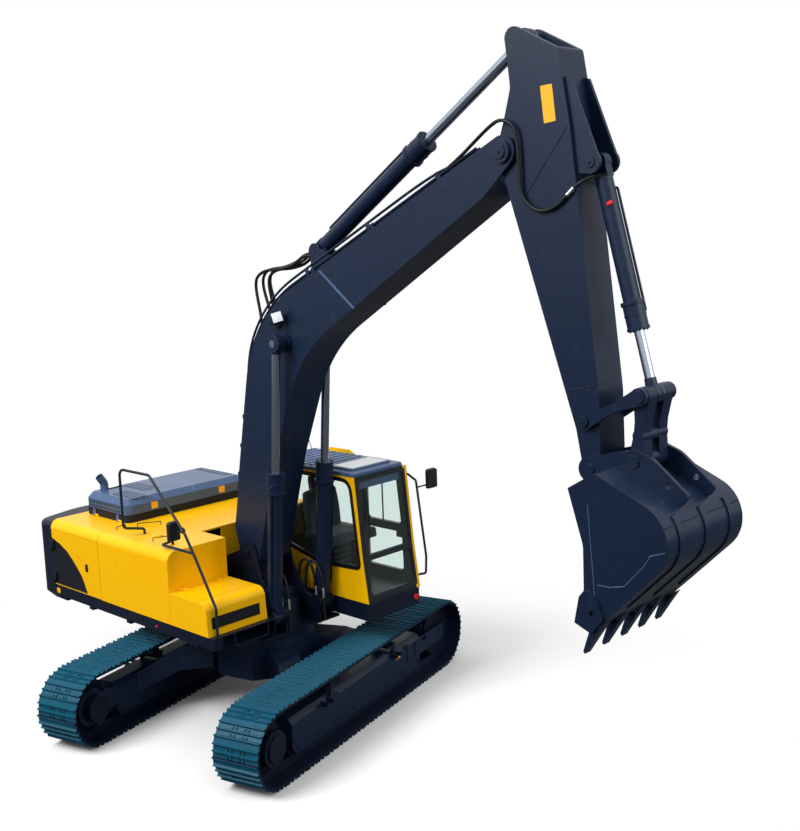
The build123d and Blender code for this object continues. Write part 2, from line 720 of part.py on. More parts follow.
def side_hinge(hand):
    """Hinge axis of a side door at the machine's rear, its X forward and Y outward."""
    return Plane(
        origin=(BODY_REAR + 8, hand * (UPPER_WIDTH / 2 + HINGE_RISE), 0), x_dir=(1, 0, 0), z_dir=(0, 0, hand)
    )


# Counterweight, rounded at the rear and hollowed towards the engine
COUNTERWEIGHT_HALF = UPPER_WIDTH / 2 - 10
COUNTERWEIGHT_CORNERS = (
    (BODY_REAR, -COUNTERWEIGHT_HALF, 0),
    (COUNTERWEIGHT_REAR + 170, -COUNTERWEIGHT_HALF, 200),
    (COUNTERWEIGHT_REAR, -COUNTERWEIGHT_HALF + 620, 900),
    (COUNTERWEIGHT_REAR, COUNTERWEIGHT_HALF - 620, 900),
    (COUNTERWEIGHT_REAR + 170, COUNTERWEIGHT_HALF, 200),
    (BODY_REAR, COUNTERWEIGHT_HALF, 0),
)
with BuildPart() as counterweight:
    with BuildSketch(level(MACHINE, COUNTERWEIGHT_LOW)):
        make_face(rounded(COUNTERWEIGHT_CORNERS))
    extrude(amount=BODY_TOP - 40 - COUNTERWEIGHT_LOW)
    top_edges = counterweight.faces().sort_by(Axis.Z)[-1].edges().filter_by(lambda e: e.center().X < BODY_REAR - 1)
    fillet(top_edges, COUNTERWEIGHT_ROUND)
    low_edges = counterweight.faces().sort_by(Axis.Z)[0].edges().filter_by(lambda e: e.center().X < BODY_REAR - 1)
    chamfer(low_edges, COUNTERWEIGHT_UNDERCUT)
    with BuildSketch(level(MACHINE, BODY_LOW)):
        with Locations((BODY_REAR - 90, 0)):
            Rectangle(220, 2100)
    extrude(amount=620, mode=Mode.SUBTRACT)
    with Locations(*[(LIFT_X, y, BODY_TOP - 40) for y in (-LIFT_Y, LIFT_Y)]):
        Hole(LIFT_RADIUS, depth=LIFT_DEPTH)
    for hand in (-1, 1):
        for z in SIDE_HINGES:
            add(knuckle(side_hinge(hand), hand * z + KNUCKLE + SEAT, -HINGE_LEAF, HINGE_RISE + 10 + SINK))
save(counterweight.part, "counterweight", CHARCOAL)

# Engine, one plain block on the deck
with BuildPart() as engine:
    with BuildSketch(level(MACHINE, BODY_LOW)):
        with Locations((ENGINE_X, ENGINE_Y)):
            Rectangle(ENGINE_LENGTH, ENGINE_WIDTH)
    extrude(amount=ENGINE_HEIGHT)
save(engine.part, "engine_block", GREY)

# Tank housing ahead of the pump room, with its filler cap
FILLER = (-656.0, -1053.0)
FILLER_RADIUS = 52.0
FILLER_HEIGHT = 26.0
with BuildPart() as tank:
    with BuildSketch(front(MACHINE, DOOR_SEAM + RUN / 2)):
        with Locations(((TANK_INNER - UPPER_WIDTH / 2) / 2, (BODY_LOW + BODY_TOP) / 2)):
            Rectangle(UPPER_WIDTH / 2 + TANK_INNER, BODY_TOP - BODY_LOW)
    extrude(amount=TANK_FRONT - DOOR_SEAM - RUN / 2)
    fillet(tank.edges().filter_by(Axis.X).sort_by_distance((0, -UPPER_WIDTH / 2, BODY_TOP))[0], SHOULDER)
    offset(amount=-PANEL, mode=Mode.SUBTRACT)
    with BuildSketch(level(MACHINE, BODY_TOP - SINK)):
        with Locations(FILLER):
            Circle(FILLER_RADIUS)
    extrude(amount=FILLER_HEIGHT + SINK)
save(tank.part, "tank_housing", YELLOW)


def toolbox_outline(margin):
    """Side outline of the toolbox with its large round at the front, drawn in by a margin."""
    with BuildLine() as line:
        l1 = Line((TANK_FRONT + 3 + margin, BODY_LOW + margin), (TANK_FRONT + 3 + margin, TOOLBOX_TOP - margin))
        l2 = Line(l1 @ 1, (DECK_FRONT - 20 - TOOLBOX_ROUND, TOOLBOX_TOP - margin))
        l3 = JernArc(l2 @ 1, (1, 0), TOOLBOX_ROUND - margin, -80)
        Polyline(l3 @ 1, (DECK_FRONT - margin, BODY_LOW + margin), l1 @ 0)
    return line.edges()


# Toolbox with an open top, and its lid
TOOLBOX_MIDDLE = (TANK_INNER - UPPER_WIDTH / 2) / 2
TOOLBOX_WIDTH = UPPER_WIDTH / 2 + TANK_INNER
LID_RISE = 12.0
LID_LEAF = 22.0
LID_HINGE = Plane(origin=(LID_REAR - 2, 0, TOOLBOX_TOP + LID_RISE), x_dir=(1, 0, 0), z_dir=(0, -1, 0))
LID_HINGES = (-TOOLBOX_MIDDLE - 310, -TOOLBOX_MIDDLE + 190)
with BuildPart() as toolbox:
    with BuildSketch(side(MACHINE, TOOLBOX_MIDDLE)):
        make_face(toolbox_outline(0))
    extrude(amount=TOOLBOX_WIDTH / 2, both=True)
    with BuildSketch(side(MACHINE, TOOLBOX_MIDDLE)):
        make_face(toolbox_outline(PANEL))
    extrude(amount=TOOLBOX_WIDTH / 2 - PANEL, both=True, mode=Mode.SUBTRACT)
    with BuildSketch(level(MACHINE, TOOLBOX_TOP - PANEL - 5)):
        with Locations(((LID_FRONT + LID_REAR) / 2, TOOLBOX_MIDDLE)):
            Rectangle(LID_FRONT - LID_REAR, TOOLBOX_WIDTH - 100)
    extrude(amount=PANEL + 10, mode=Mode.SUBTRACT)
    for place in LID_HINGES:
        add(knuckle(LID_HINGE, place + KNUCKLE + SEAT, -LID_LEAF, LID_RISE + SINK))
save(toolbox.part, "toolbox", YELLOW)

with BuildPart() as lid:
    with BuildSketch(level(MACHINE, TOOLBOX_TOP - PANEL)):
        with Locations(((LID_FRONT + LID_REAR) / 2, TOOLBOX_MIDDLE)):
            Rectangle(LID_FRONT - LID_REAR - 10, TOOLBOX_WIDTH - 110)
    extrude(amount=PANEL)
    for place in LID_HINGES:
        add(knuckle(LID_HINGE, place, HINGE_LEAF, LID_RISE + SINK))
save(lid.part, "toolbox_lid", YELLOW)

# Side doors of the pump room and the radiator bay
DOOR_REAR_EDGE = BODY_REAR + 12
DOOR_TOP = BODY_TOP - SHOULDER - 5
SIDE_DOOR = 35.0
for name, hand in (("pump_room_door", -1), ("radiator_door", 1)):
    with BuildPart() as door:
        with BuildSketch(front(MACHINE, DOOR_REAR_EDGE)):
            with Locations((hand * (UPPER_WIDTH - SIDE_DOOR) / 2, (BODY_LOW + RUN + DOOR_TOP) / 2)):
                Rectangle(SIDE_DOOR, DOOR_TOP - BODY_LOW - RUN)
        extrude(amount=DOOR_SEAM - RUN / 2 - DOOR_REAR_EDGE)
        for z in SIDE_HINGES:
            add(knuckle(side_hinge(hand), hand * z, HINGE_LEAF, HINGE_RISE + SINK))
    save(door.part, name, YELLOW)

HOOD_RISE = 22.0
HOOD_HINGE = Plane(
    origin=(0, HOOD_RIGHT - HINGE_RISE + SINK, BODY_TOP + HOOD_RISE), x_dir=(0, 0, 1), z_dir=(1, 0, 0)
)
HOOD_HINGES = (HOOD_REAR + 200, HOOD_FRONT - 250)

# Bay cover: top deck with shoulders, inner walls and the left side body
with BuildPart() as bay:
    with BuildSketch(level(MACHINE, BODY_TOP - PANEL)):
        with BuildLine():
            Polyline(
                (BODY_REAR + 3, -UPPER_WIDTH / 2 + SHOULDER),
                (DOOR_SEAM - 3, -UPPER_WIDTH / 2 + SHOULDER),
                (DOOR_SEAM - 3, TANK_INNER + 3),
                (BAY_FRONT, TANK_INNER + 3),
                (BAY_FRONT, CAB_RIGHT - 10),
                (CAB_REAR - 20, CAB_RIGHT - 10),
                (CAB_REAR - 20, UPPER_WIDTH / 2 - SHOULDER),
                (BODY_REAR + 3, UPPER_WIDTH / 2 - SHOULDER),
                close=True,
            )
        make_face()
        with Locations(((HOOD_FRONT + HOOD_REAR) / 2, (HOOD_LEFT + HOOD_RIGHT) / 2)):
            Rectangle(HOOD_FRONT - HOOD_REAR - 120, HOOD_LEFT - HOOD_RIGHT - 120, mode=Mode.SUBTRACT)
    extrude(amount=PANEL)
    for hand, length in ((-1, DOOR_SEAM - 3 - BODY_REAR - 3), (1, CAB_REAR - 20 - BODY_REAR - 3)):
        with BuildSketch(front(MACHINE, BODY_REAR + 3)) as shoulder:
            with BuildLine():
                edge_y = hand * UPPER_WIDTH / 2
                l1 = Line((edge_y, BODY_TOP - SHOULDER), (edge_y - hand * PANEL, BODY_TOP - SHOULDER))
                l2 = JernArc(l1 @ 1, (0, 1), SHOULDER - PANEL, hand * 90)
                l3 = Line(l2 @ 1, l2 @ 1 + Vector(0, PANEL))
                l4 = JernArc(l1 @ 0, (0, 1), SHOULDER, hand * 90)
            make_face()
        extrude(amount=length)
    with BuildSketch(side(MACHINE, UPPER_WIDTH / 2 - PANEL / 2)):
        with Locations(((DOOR_SEAM + CAB_REAR) / 2 - 8, (BODY_LOW + BODY_TOP - SHOULDER) / 2)):
            Rectangle(CAB_REAR - DOOR_SEAM - 24, BODY_TOP - SHOULDER - BODY_LOW)
    extrude(amount=PANEL / 2, both=True)
    with BuildSketch(front(MACHINE, CAB_REAR - 20 - PANEL)):
        with Locations(((UPPER_WIDTH / 2 - 50 + CAB_RIGHT) / 2, (BODY_LOW + BODY_TOP) / 2 - 10)):
            Rectangle(UPPER_WIDTH / 2 - 50 - CAB_RIGHT + 20, BODY_TOP - BODY_LOW - 20)
    extrude(amount=PANEL)
    with BuildSketch(front(MACHINE, BAY_FRONT - PANEL)):
        with Locations((0, (BODY_LOW + BODY_TOP) / 2 - 10)):
            Rectangle(2 * WEB_INNER - 10, BODY_TOP - BODY_LOW - 20)
    extrude(amount=PANEL)
    for x in HOOD_HINGES:
        add(knuckle(HOOD_HINGE, x + KNUCKLE + SEAT, -HOOD_RISE - SINK, HINGE_RADIUS - RUN / 2))
save(bay.part, "bay_cover", YELLOW)


def hood_block(wall):
    """Raised hood with round corners and bevelled top edges, drawn in by a wall."""
    with BuildPart() as block:
        with BuildSketch(level(MACHINE, HOOD_SEAM)):
            with Locations(((HOOD_FRONT + HOOD_REAR) / 2, (HOOD_LEFT + HOOD_RIGHT) / 2)):
                RectangleRounded(
                    HOOD_FRONT - HOOD_REAR - 2 * wall, HOOD_LEFT - HOOD_RIGHT - 2 * wall, HOOD_CORNER - wall
                )
        extrude(amount=HOOD_TOP - HOOD_SEAM - wall)
        chamfer(block.faces().sort_by(Axis.Z)[-1].edges(), HOOD_BEVEL)
    return block.part


# Engine hood, open below, slotted for the stack
with BuildPart() as hood:
    add(hood_block(0))
    add(hood_block(HOOD_WALL), mode=Mode.SUBTRACT)
    with BuildSketch(level(MACHINE, HOOD_TOP - 200)):
        with Locations((STACK_X, STACK_Y - STACK_RADIUS - 12 + STACK_SLOT / 2)):
            SlotOverall(STACK_SLOT, 2 * STACK_RADIUS + 24, rotation=90)
    extrude(amount=250, mode=Mode.SUBTRACT)
    for x in HOOD_HINGES:
        add(knuckle(HOOD_HINGE, x, HINGE_LEAF, HINGE_RISE))
save(hood.part, "engine_hood", SLATE)

# Exhaust stack, fixed on the engine, leaning out at its mouth
STACK_LOW = BODY_LOW + ENGINE_HEIGHT + SEAT
STACK_CORNERS = (
    (STACK_X, STACK_Y, STACK_LOW),
    (STACK_X, STACK_Y, STACK_BEND),
    (STACK_X, STACK_Y - STACK_LEAN, STACK_TOP),
)
with BuildPart() as stack:
    add(tube(STACK_CORNERS, STACK_RADIUS, 80))
    add(tube(STACK_CORNERS, STACK_RADIUS - STACK_WALL, 80), mode=Mode.SUBTRACT)
save(stack.part, "exhaust_stack", GREY)

# Cab base, floor frame under the cab, open below
BASE_WALL = 40.0
with BuildPart() as cab_base:
    with BuildSketch(level(MACHINE, CAB_BASE_LOW)):
        with Locations(((CAB_REAR + CAB_TOE) / 2, (CAB_RIGHT + CAB_LEFT) / 2)):
            RectangleRounded(CAB_TOE - CAB_REAR, CAB_LEFT - CAB_RIGHT, 40)
    extrude(amount=CAB_FLOOR - SEAT - CAB_BASE_LOW)
    with BuildSketch(level(MACHINE, CAB_BASE_LOW)):
        with Locations(((CAB_REAR + CAB_TOE) / 2, (CAB_RIGHT + CAB_LEFT) / 2)):
            Rectangle(CAB_TOE - CAB_REAR - 2 * BASE_WALL, CAB_LEFT - CAB_RIGHT - 2 * BASE_WALL)
    extrude(amount=CAB_FLOOR - CAB_BASE_LOW - BASE_WALL, mode=Mode.SUBTRACT)
save(cab_base.part, "cab_base", CHARCOAL)


def cab_outline(margin):
    """Side outline of the cab, drawn in by a margin."""
    with BuildLine() as line:
        Polyline(
            (CAB_REAR + margin, CAB_FLOOR + margin),
            (CAB_TOE - margin, CAB_FLOOR + margin),
            (CAB_KNEE_X - margin, CAB_KNEE_Z),
            (CAB_BROW - margin, CAB_ROOF - margin),
            (CAB_REAR + margin, CAB_ROOF - margin),
            close=True,
        )
    return line.edges()


def cab_front(z):
    """Place of the cab's front face at a height."""
    if z < CAB_KNEE_Z:
        return CAB_TOE - (CAB_TOE - CAB_KNEE_X) * (z - CAB_FLOOR) / (CAB_KNEE_Z - CAB_FLOOR)
    return CAB_KNEE_X - (CAB_KNEE_X - CAB_BROW) * (z - CAB_KNEE_Z) / (CAB_ROOF - CAB_KNEE_Z)


def front_band(low, high, outer, inner):
    """Outline of a band along the cab's front between two heights and two depths."""
    with BuildLine() as line:
        Polyline(
            (cab_front(low) - outer, low),
            (CAB_KNEE_X - outer, CAB_KNEE_Z),
            (cab_front(high) - outer, high),
            (cab_front(high) - inner, high),
            (CAB_KNEE_X - inner, CAB_KNEE_Z),
            (cab_front(low) - inner, low),
            close=True,
        )
    return line.edges()


# Windows as corner tables of the side walls: forward, up, radius
RIGHT_WINDOW = (
    (-330, 2060, 50),
    (-330, 2925, 60),
    (1145, 2925, 150),
    (1262, 1880, 45),
    (560, 1845, 200),
)
QUARTER_WINDOW = (
    (-330, 2060, 50),
    (-330, 2900, 60),
    (DOOR_REAR - 130, 2900, 50),
    (DOOR_REAR - 130, 2060, 50),
)
REAR_WINDOW = (620.0, 560.0)
REAR_WINDOW_Z = 2610.0
REAR_WINDOW_ROUND = 60.0
DOOR_WINDOW_HIGH = (
    (DOOR_REAR + 65, 2215, 50),
    (DOOR_REAR + 65, 2850, 50),
    (DOOR_FRONT - 145, 2850, 60),
    (DOOR_FRONT - 75, 2215, 50),
)
DOOR_WINDOW_LOW = (
    (DOOR_REAR + 65, 1600, 60),
    (DOOR_REAR + 65, 2110, 60),
    (DOOR_FRONT - 70, 2110, 60),
    (DOOR_FRONT - 55, 1600, 60),
)
SCREEN_LOW = 1475.0
SCREEN_HIGH = 2962.0
SCREEN_SIDE = 38.0
SCREEN_RIGHT = CAB_RIGHT + SCREEN_SIDE
SCREEN_LEFT = CAB_LEFT - SCREEN_SIDE
SCREEN_WINDOWS = ((1522.0, 1945.0), (2012.0, 2930.0))
SCREEN_GLASS = (SCREEN_RIGHT + 38.0, SCREEN_LEFT - 38.0)
SCREEN_ROUND = 55.0
GLASS_DEPTH = 16.0
CAB_HINGE = Plane(
    origin=(DOOR_REAR - 8, CAB_LEFT + HINGE_RISE, 0), x_dir=(1, 0, 0), z_dir=(0, 0, 1)
)
CAB_HINGES = (1600.0, 2600.0)

# Cab shell with its windows and the door opening
CAB_MIDDLE = (CAB_LEFT + CAB_RIGHT) / 2
with BuildPart() as cab:
    with BuildSketch(side(MACHINE, CAB_MIDDLE)):
        make_face(cab_outline(0))
    extrude(amount=(CAB_LEFT - CAB_RIGHT) / 2, both=True)
    with BuildSketch(side(MACHINE, CAB_MIDDLE)):
        make_face(cab_outline(CAB_WALL))
    extrude(amount=(CAB_LEFT - CAB_RIGHT) / 2 - CAB_WALL, both=True, mode=Mode.SUBTRACT)
    with BuildSketch(side(MACHINE, CAB_RIGHT)):
        make_face(rounded(RIGHT_WINDOW))
    extrude(amount=CAB_WALL + 5, both=True, mode=Mode.SUBTRACT)
    with BuildSketch(side(MACHINE, CAB_LEFT)):
        make_face(rounded(QUARTER_WINDOW))
        with BuildLine():
            Polyline(
                (DOOR_REAR - RUN, DOOR_LOW - RUN),
                (DOOR_FRONT + 100 + RUN, DOOR_LOW - RUN),
                (DOOR_FRONT + 20 + RUN, CAB_KNEE_Z),
                (DOOR_FRONT - 80 + RUN, DOOR_HIGH + RUN),
                (DOOR_REAR - RUN, DOOR_HIGH + RUN),
                close=True,
            )
        make_face()
    extrude(amount=CAB_WALL + 5, both=True, mode=Mode.SUBTRACT)
    with BuildSketch(front(MACHINE, CAB_TOE)):
        with Locations((CAB_MIDDLE, (SCREEN_LOW + SCREEN_HIGH) / 2)):
            Rectangle(SCREEN_LEFT - SCREEN_RIGHT, SCREEN_HIGH - SCREEN_LOW)
    extrude(amount=300, both=True, mode=Mode.SUBTRACT)
    with BuildSketch(front(MACHINE, CAB_REAR)):
        with Locations((CAB_MIDDLE, REAR_WINDOW_Z)):
            RectangleRounded(REAR_WINDOW[0], REAR_WINDOW[1], REAR_WINDOW_ROUND)
    extrude(amount=CAB_WALL + 5, both=True, mode=Mode.SUBTRACT)
    for z in CAB_HINGES:
        add(knuckle(CAB_HINGE, z + KNUCKLE + SEAT, -HINGE_LEAF, HINGE_RISE + SINK))
save(cab.part, "cab_shell", YELLOW)

# Windscreen frame with its two openings
with BuildPart() as screen:
    with BuildSketch(side(MACHINE, CAB_MIDDLE)):
        make_face(front_band(SCREEN_LOW + SEAT, SCREEN_HIGH - SEAT, 0, CAB_WALL))
    extrude(amount=(SCREEN_LEFT - SCREEN_RIGHT) / 2 - SEAT, both=True)
    with BuildSketch(front(MACHINE, CAB_TOE + 50)):
        for low, high in SCREEN_WINDOWS:
            with Locations(((SCREEN_GLASS[0] + SCREEN_GLASS[1]) / 2, (low + high) / 2)):
                RectangleRounded(SCREEN_GLASS[1] - SCREEN_GLASS[0], high - low, SCREEN_ROUND)
    extrude(amount=-400, mode=Mode.SUBTRACT)
save(screen.part, "windscreen_frame", CHARCOAL)

# Fixed panes, each in its opening
with BuildPart() as panes:
    with BuildSketch(side(MACHINE, CAB_MIDDLE)):
        make_face(front_band(SCREEN_LOW, SCREEN_HIGH, GLASS_DEPTH, GLASS_DEPTH + GLASS))
    extrude(amount=(SCREEN_LEFT - SCREEN_RIGHT) / 2, both=True)
    with BuildSketch(front(MACHINE, CAB_TOE + 50)):
        for low, high in SCREEN_WINDOWS:
            with Locations(((SCREEN_GLASS[0] + SCREEN_GLASS[1]) / 2, (low + high) / 2)):
                RectangleRounded(
                    SCREEN_GLASS[1] - SCREEN_GLASS[0] - 2 * SEAT, high - low - 2 * SEAT, SCREEN_ROUND
                )
    extrude(amount=-400, mode=Mode.INTERSECT)
    with BuildSketch(side(MACHINE, CAB_RIGHT + GLASS_DEPTH + GLASS)):
        make_face(rounded(inset(RIGHT_WINDOW, SEAT)))
    extrude(amount=GLASS)
    with BuildSketch(side(MACHINE, CAB_LEFT - GLASS_DEPTH)):
        make_face(rounded(inset(QUARTER_WINDOW, SEAT)))
    extrude(amount=GLASS)
    with BuildSketch(front(MACHINE, CAB_REAR + GLASS_DEPTH)):
        with Locations((CAB_MIDDLE, REAR_WINDOW_Z)):
            RectangleRounded(REAR_WINDOW[0] - 2 * SEAT, REAR_WINDOW[1] - 2 * SEAT, REAR_WINDOW_ROUND)
    extrude(amount=GLASS)
save(panes.part, "cab_glass", CLEAR)

# Cab roof: ribbed cover with a hatch, hollow below
ROOF_SIDE = 24.0
ROOF_FRONT = CAB_BROW - 25.0
ROOF_WALL = 10.0
ROOF_RIB = 14.0
ROOF_RIBS = (-360.0, 500.0)
ROOF_RIB_COUNT = 8
HATCH_X = (700.0, 1100.0)
HATCH_WIDTH = 700.0
HATCH_HEIGHT = 26.0
with BuildPart() as roof:
    with BuildSketch(level(MACHINE, CAB_ROOF + SEAT)):
        with Locations(((CAB_REAR + ROOF_FRONT) / 2, CAB_MIDDLE)):
            RectangleRounded(ROOF_FRONT - CAB_REAR, CAB_WIDTH - 2 * ROOF_SIDE, 50)
    extrude(amount=ROOF_CROWN)
    fillet(roof.faces().sort_by(Axis.Z)[-1].edges(), 22)
    with BuildSketch(level(MACHINE, CAB_ROOF + SEAT)):
        with Locations(((CAB_REAR + ROOF_FRONT) / 2, CAB_MIDDLE)):
            Rectangle(ROOF_FRONT - CAB_REAR - 60, CAB_WIDTH - 2 * ROOF_SIDE - 60)
    extrude(amount=ROOF_CROWN - ROOF_WALL, mode=Mode.SUBTRACT)
    rib_step = (ROOF_RIBS[1] - ROOF_RIBS[0]) / (ROOF_RIB_COUNT - 1)
    with BuildSketch(side(MACHINE, CAB_MIDDLE)):
        for i in range(ROOF_RIB_COUNT):
            x = ROOF_RIBS[0] + i * rib_step
            with BuildLine():
                Polyline(
                    (x - 34, CAB_ROOF + ROOF_CROWN - SINK),
                    (x + 34, CAB_ROOF + ROOF_CROWN - SINK),
                    (x + 20, CAB_ROOF + ROOF_CROWN + ROOF_RIB),
                    (x - 20, CAB_ROOF + ROOF_CROWN + ROOF_RIB),
                    close=True,
                )
            make_face()
    extrude(amount=CAB_WIDTH / 2 - ROOF_SIDE - 60, both=True)
    with BuildSketch(level(MACHINE, CAB_ROOF + ROOF_CROWN - SINK)):
        with Locations(((HATCH_X[0] + HATCH_X[1]) / 2, CAB_MIDDLE)):
            RectangleRounded(HATCH_X[1] - HATCH_X[0], HATCH_WIDTH, 45)
    extrude(amount=HATCH_HEIGHT + SINK)
    chamfer(roof.faces().sort_by(Axis.Z)[-1].edges(), 8)
save(roof.part, "cab_roof", SLATE)

# Cab door, hinged at its rear edge, and its two panes
with BuildPart() as cab_door:
    with BuildSketch(side(MACHINE, CAB_LEFT)):
        with BuildLine():
            Polyline(
                (DOOR_REAR, DOOR_LOW),
                (DOOR_FRONT + 100, DOOR_LOW),
                (DOOR_FRONT + 20, CAB_KNEE_Z),
                (DOOR_FRONT - 80, DOOR_HIGH),
                (DOOR_REAR, DOOR_HIGH),
                close=True,
            )
        make_face()
    extrude(amount=DOOR_THICK)
    for window in (DOOR_WINDOW_HIGH, DOOR_WINDOW_LOW):
        with BuildSketch(side(MACHINE, CAB_LEFT)):
            make_face(rounded(window))
        extrude(amount=DOOR_THICK + 5, both=True, mode=Mode.SUBTRACT)
    for z in CAB_HINGES:
        add(knuckle(CAB_HINGE, z, HINGE_LEAF, HINGE_RISE + SINK))
save(cab_door.part, "cab_door", YELLOW)

with BuildPart() as door_panes:
    for window in (DOOR_WINDOW_HIGH, DOOR_WINDOW_LOW):
        with BuildSketch(side(MACHINE, CAB_LEFT - GLASS_DEPTH)):
            make_face(rounded(inset(window, SEAT)))
        extrude(amount=GLASS)
save(door_panes.part, "door_glass", CLEAR)

# Operator's seat and consoles
SEAT_X = 330.0
SEAT_HALF = 300.0
CUSHION_LOW = 1960.0
CUSHION = 150.0
BACK_TOP = 2620.0
CONSOLE_Y = 375.0
CONSOLE_WIDTH = 80.0
CONSOLE_TOP = 2080.0
LEVER_TOP = 2250.0
CAB_DECK = CAB_FLOOR + CAB_WALL + SEAT
with BuildPart() as seat:
    with BuildSketch(level(MACHINE, CAB_DECK)):
        with Locations((SEAT_X, CAB_MIDDLE)):
            Rectangle(420, 380)
    extrude(amount=CUSHION_LOW + 40 - CAB_DECK)
    with BuildSketch(side(MACHINE, CAB_MIDDLE)):
        make_face(rounded((
            (60, CUSHION_LOW, 30),
            (60, CUSHION_LOW + CUSHION, 30),
            (560, CUSHION_LOW + CUSHION + 25, 50),
            (600, CUSHION_LOW + 30, 50),
        )))
    extrude(amount=SEAT_HALF, both=True)
    with BuildSketch(side(MACHINE, CAB_MIDDLE)):
        make_face(rounded((
            (80, CUSHION_LOW + 60, 30),
            (-10, BACK_TOP, 50),
            (120, BACK_TOP, 50),
            (230, CUSHION_LOW + 60, 30),
        )))
    extrude(amount=SEAT_HALF - 20, both=True)
    with BuildSketch(side(MACHINE, CAB_MIDDLE)):
        make_face(rounded((
            (5, BACK_TOP - 30, 10),
            (0, BACK_TOP + 190, 45),
            (110, BACK_TOP + 190, 45),
            (115, BACK_TOP - 30, 10),
        )))
    extrude(amount=140, both=True)
save(seat.part, "seat", GREY)

with BuildPart() as consoles:
    for y in (CAB_MIDDLE - CONSOLE_Y, CAB_MIDDLE + CONSOLE_Y):
        with BuildSketch(side(MACHINE, y)):
            make_face(rounded((
                (240, CAB_DECK, 0),
                (200, CONSOLE_TOP - 60, 60),
                (260, CONSOLE_TOP, 40),
                (700, CONSOLE_TOP + 30, 40),
                (720, CONSOLE_TOP - 90, 40),
                (520, CONSOLE_TOP - 160, 60),
                (480, CAB_DECK, 0),
            )))
        extrude(amount=CONSOLE_WIDTH / 2, both=True)
        with BuildSketch(level(MACHINE, CONSOLE_TOP - 20)):
            with Locations((630, y)):
                Circle(14)
        extrude(amount=LEVER_TOP - CONSOLE_TOP + 20)
        with BuildSketch(level(MACHINE, LEVER_TOP - 90)):
            with Locations((630, y)):
                Circle(24)
        extrude(amount=100)
save(consoles.part, "consoles", GREY)

# Handrails: the long rail round the tank and toolbox, and the cab's grab bar
HANDRAIL = 17.0
RAIL_Y = -1350.0
RAIL_BEND = 90.0
RAIL_CORNERS = (
    (-900.0, -1085.0, BODY_TOP + SEAT),
    (-900.0, -1085.0, BODY_TOP + 70),
    (-960.0, RAIL_Y, BODY_TOP + 120),
    (-960.0, RAIL_Y, 3170.0),
    (-330.0, RAIL_Y, 3172.0),
    (324.0, RAIL_Y, 2547.0),
    (524.0, RAIL_Y, 2251.0),
    (DECK_NOSE - 40, RAIL_Y, 1756.0),
    (DECK_NOSE - 40, RAIL_Y, BODY_LOW),
)
RAIL_BENDS = (40, 60, RAIL_BEND, RAIL_BEND, RAIL_BEND, RAIL_BEND, RAIL_BEND)
BRACE_Z = BODY_TOP + 45
BRACE_CORNERS = (
    (-207.0, -1157.0, BODY_TOP + SEAT),
    (-207.0, -1157.0, BRACE_Z),
    (-150.0, RAIL_Y, BRACE_Z),
    (460.0, RAIL_Y, BRACE_Z),
)
GRAB_BAR = 15.0
GRAB_Y = CAB_LEFT + 75.0
GRAB_CORNERS = (
    (1180.0, CAB_LEFT + SEAT, 2860.0),
    (1180.0, GRAB_Y, 2860.0),
    (1330.0, GRAB_Y, 2790.0),
    (1466.0, GRAB_Y, 1820.0),
    (1452.0, GRAB_Y, 1590.0),
    (1360.0, GRAB_Y, 1566.0),
    (1360.0, CAB_LEFT + SEAT, 1566.0),
)
with BuildPart() as handrails:
    add(tube(RAIL_CORNERS, HANDRAIL, RAIL_BENDS))
    add(tube(BRACE_CORNERS, HANDRAIL, (25, 40)))
    add(tube(GRAB_CORNERS, GRAB_BAR, (20, 40, 80, 50, 20)))
save(handrails.part, "handrails", CHARCOAL)

# Mirrors: one on the long rail, one on an arm from the grab bar
MIRROR_DEPTH = 45.0
RIGHT_MIRROR = (110.0, RAIL_Y - 20, 2560.0)
RIGHT_MIRROR_SIZE = (170.0, 240.0)
CLAMP_RING = 14.0
CLAMP_BACK = 60.0
LEFT_MIRROR = (1318.0, GRAB_Y + 285, 2765.0)
LEFT_MIRROR_SIZE = (185.0, 260.0)
LEFT_ARM_Z = 2700.0
LEFT_ARM_X = 1342.0
with BuildPart() as mirrors:
    for place, size in ((RIGHT_MIRROR, RIGHT_MIRROR_SIZE), (LEFT_MIRROR, LEFT_MIRROR_SIZE)):
        with BuildSketch(front(MACHINE, place[0])):
            with Locations((place[1], place[2])):
                RectangleRounded(size[0], size[1], 35)
        extrude(amount=MIRROR_DEPTH, taper=12)
    upper, lower = Vector(*RAIL_CORNERS[4]), Vector(*RAIL_CORNERS[5])
    downhill = (lower - upper).normalized()
    clamp = lower - downhill * CLAMP_BACK
    with BuildSketch(Plane(origin=clamp, z_dir=downhill)):
        Circle(HANDRAIL + CLAMP_RING)
        Circle(HANDRAIL + SEAT, mode=Mode.SUBTRACT)
    extrude(amount=20, both=True)
    root = clamp + Vector(downhill.Z, 0, -downhill.X) * (HANDRAIL + CLAMP_RING - 5)
    add(tube(
        (
            (root.X, root.Y, root.Z),
            (root.X - 60, RAIL_Y - 8, root.Z - 4),
            (RIGHT_MIRROR[0] + MIRROR_DEPTH - 5, RAIL_Y - 20, RIGHT_MIRROR[2]),
        ), 9, 30))
    add(tube(
        (
            (LEFT_ARM_X, GRAB_Y + GRAB_BAR + SEAT, LEFT_ARM_Z),
            (LEFT_ARM_X, LEFT_MIRROR[1] - 60, LEFT_ARM_Z),
            (LEFT_MIRROR[0] + MIRROR_DEPTH - 8, LEFT_MIRROR[1], LEFT_MIRROR[2] - 30),
        ), 10, 40))
save(mirrors.part, "mirrors", CHARCOAL)

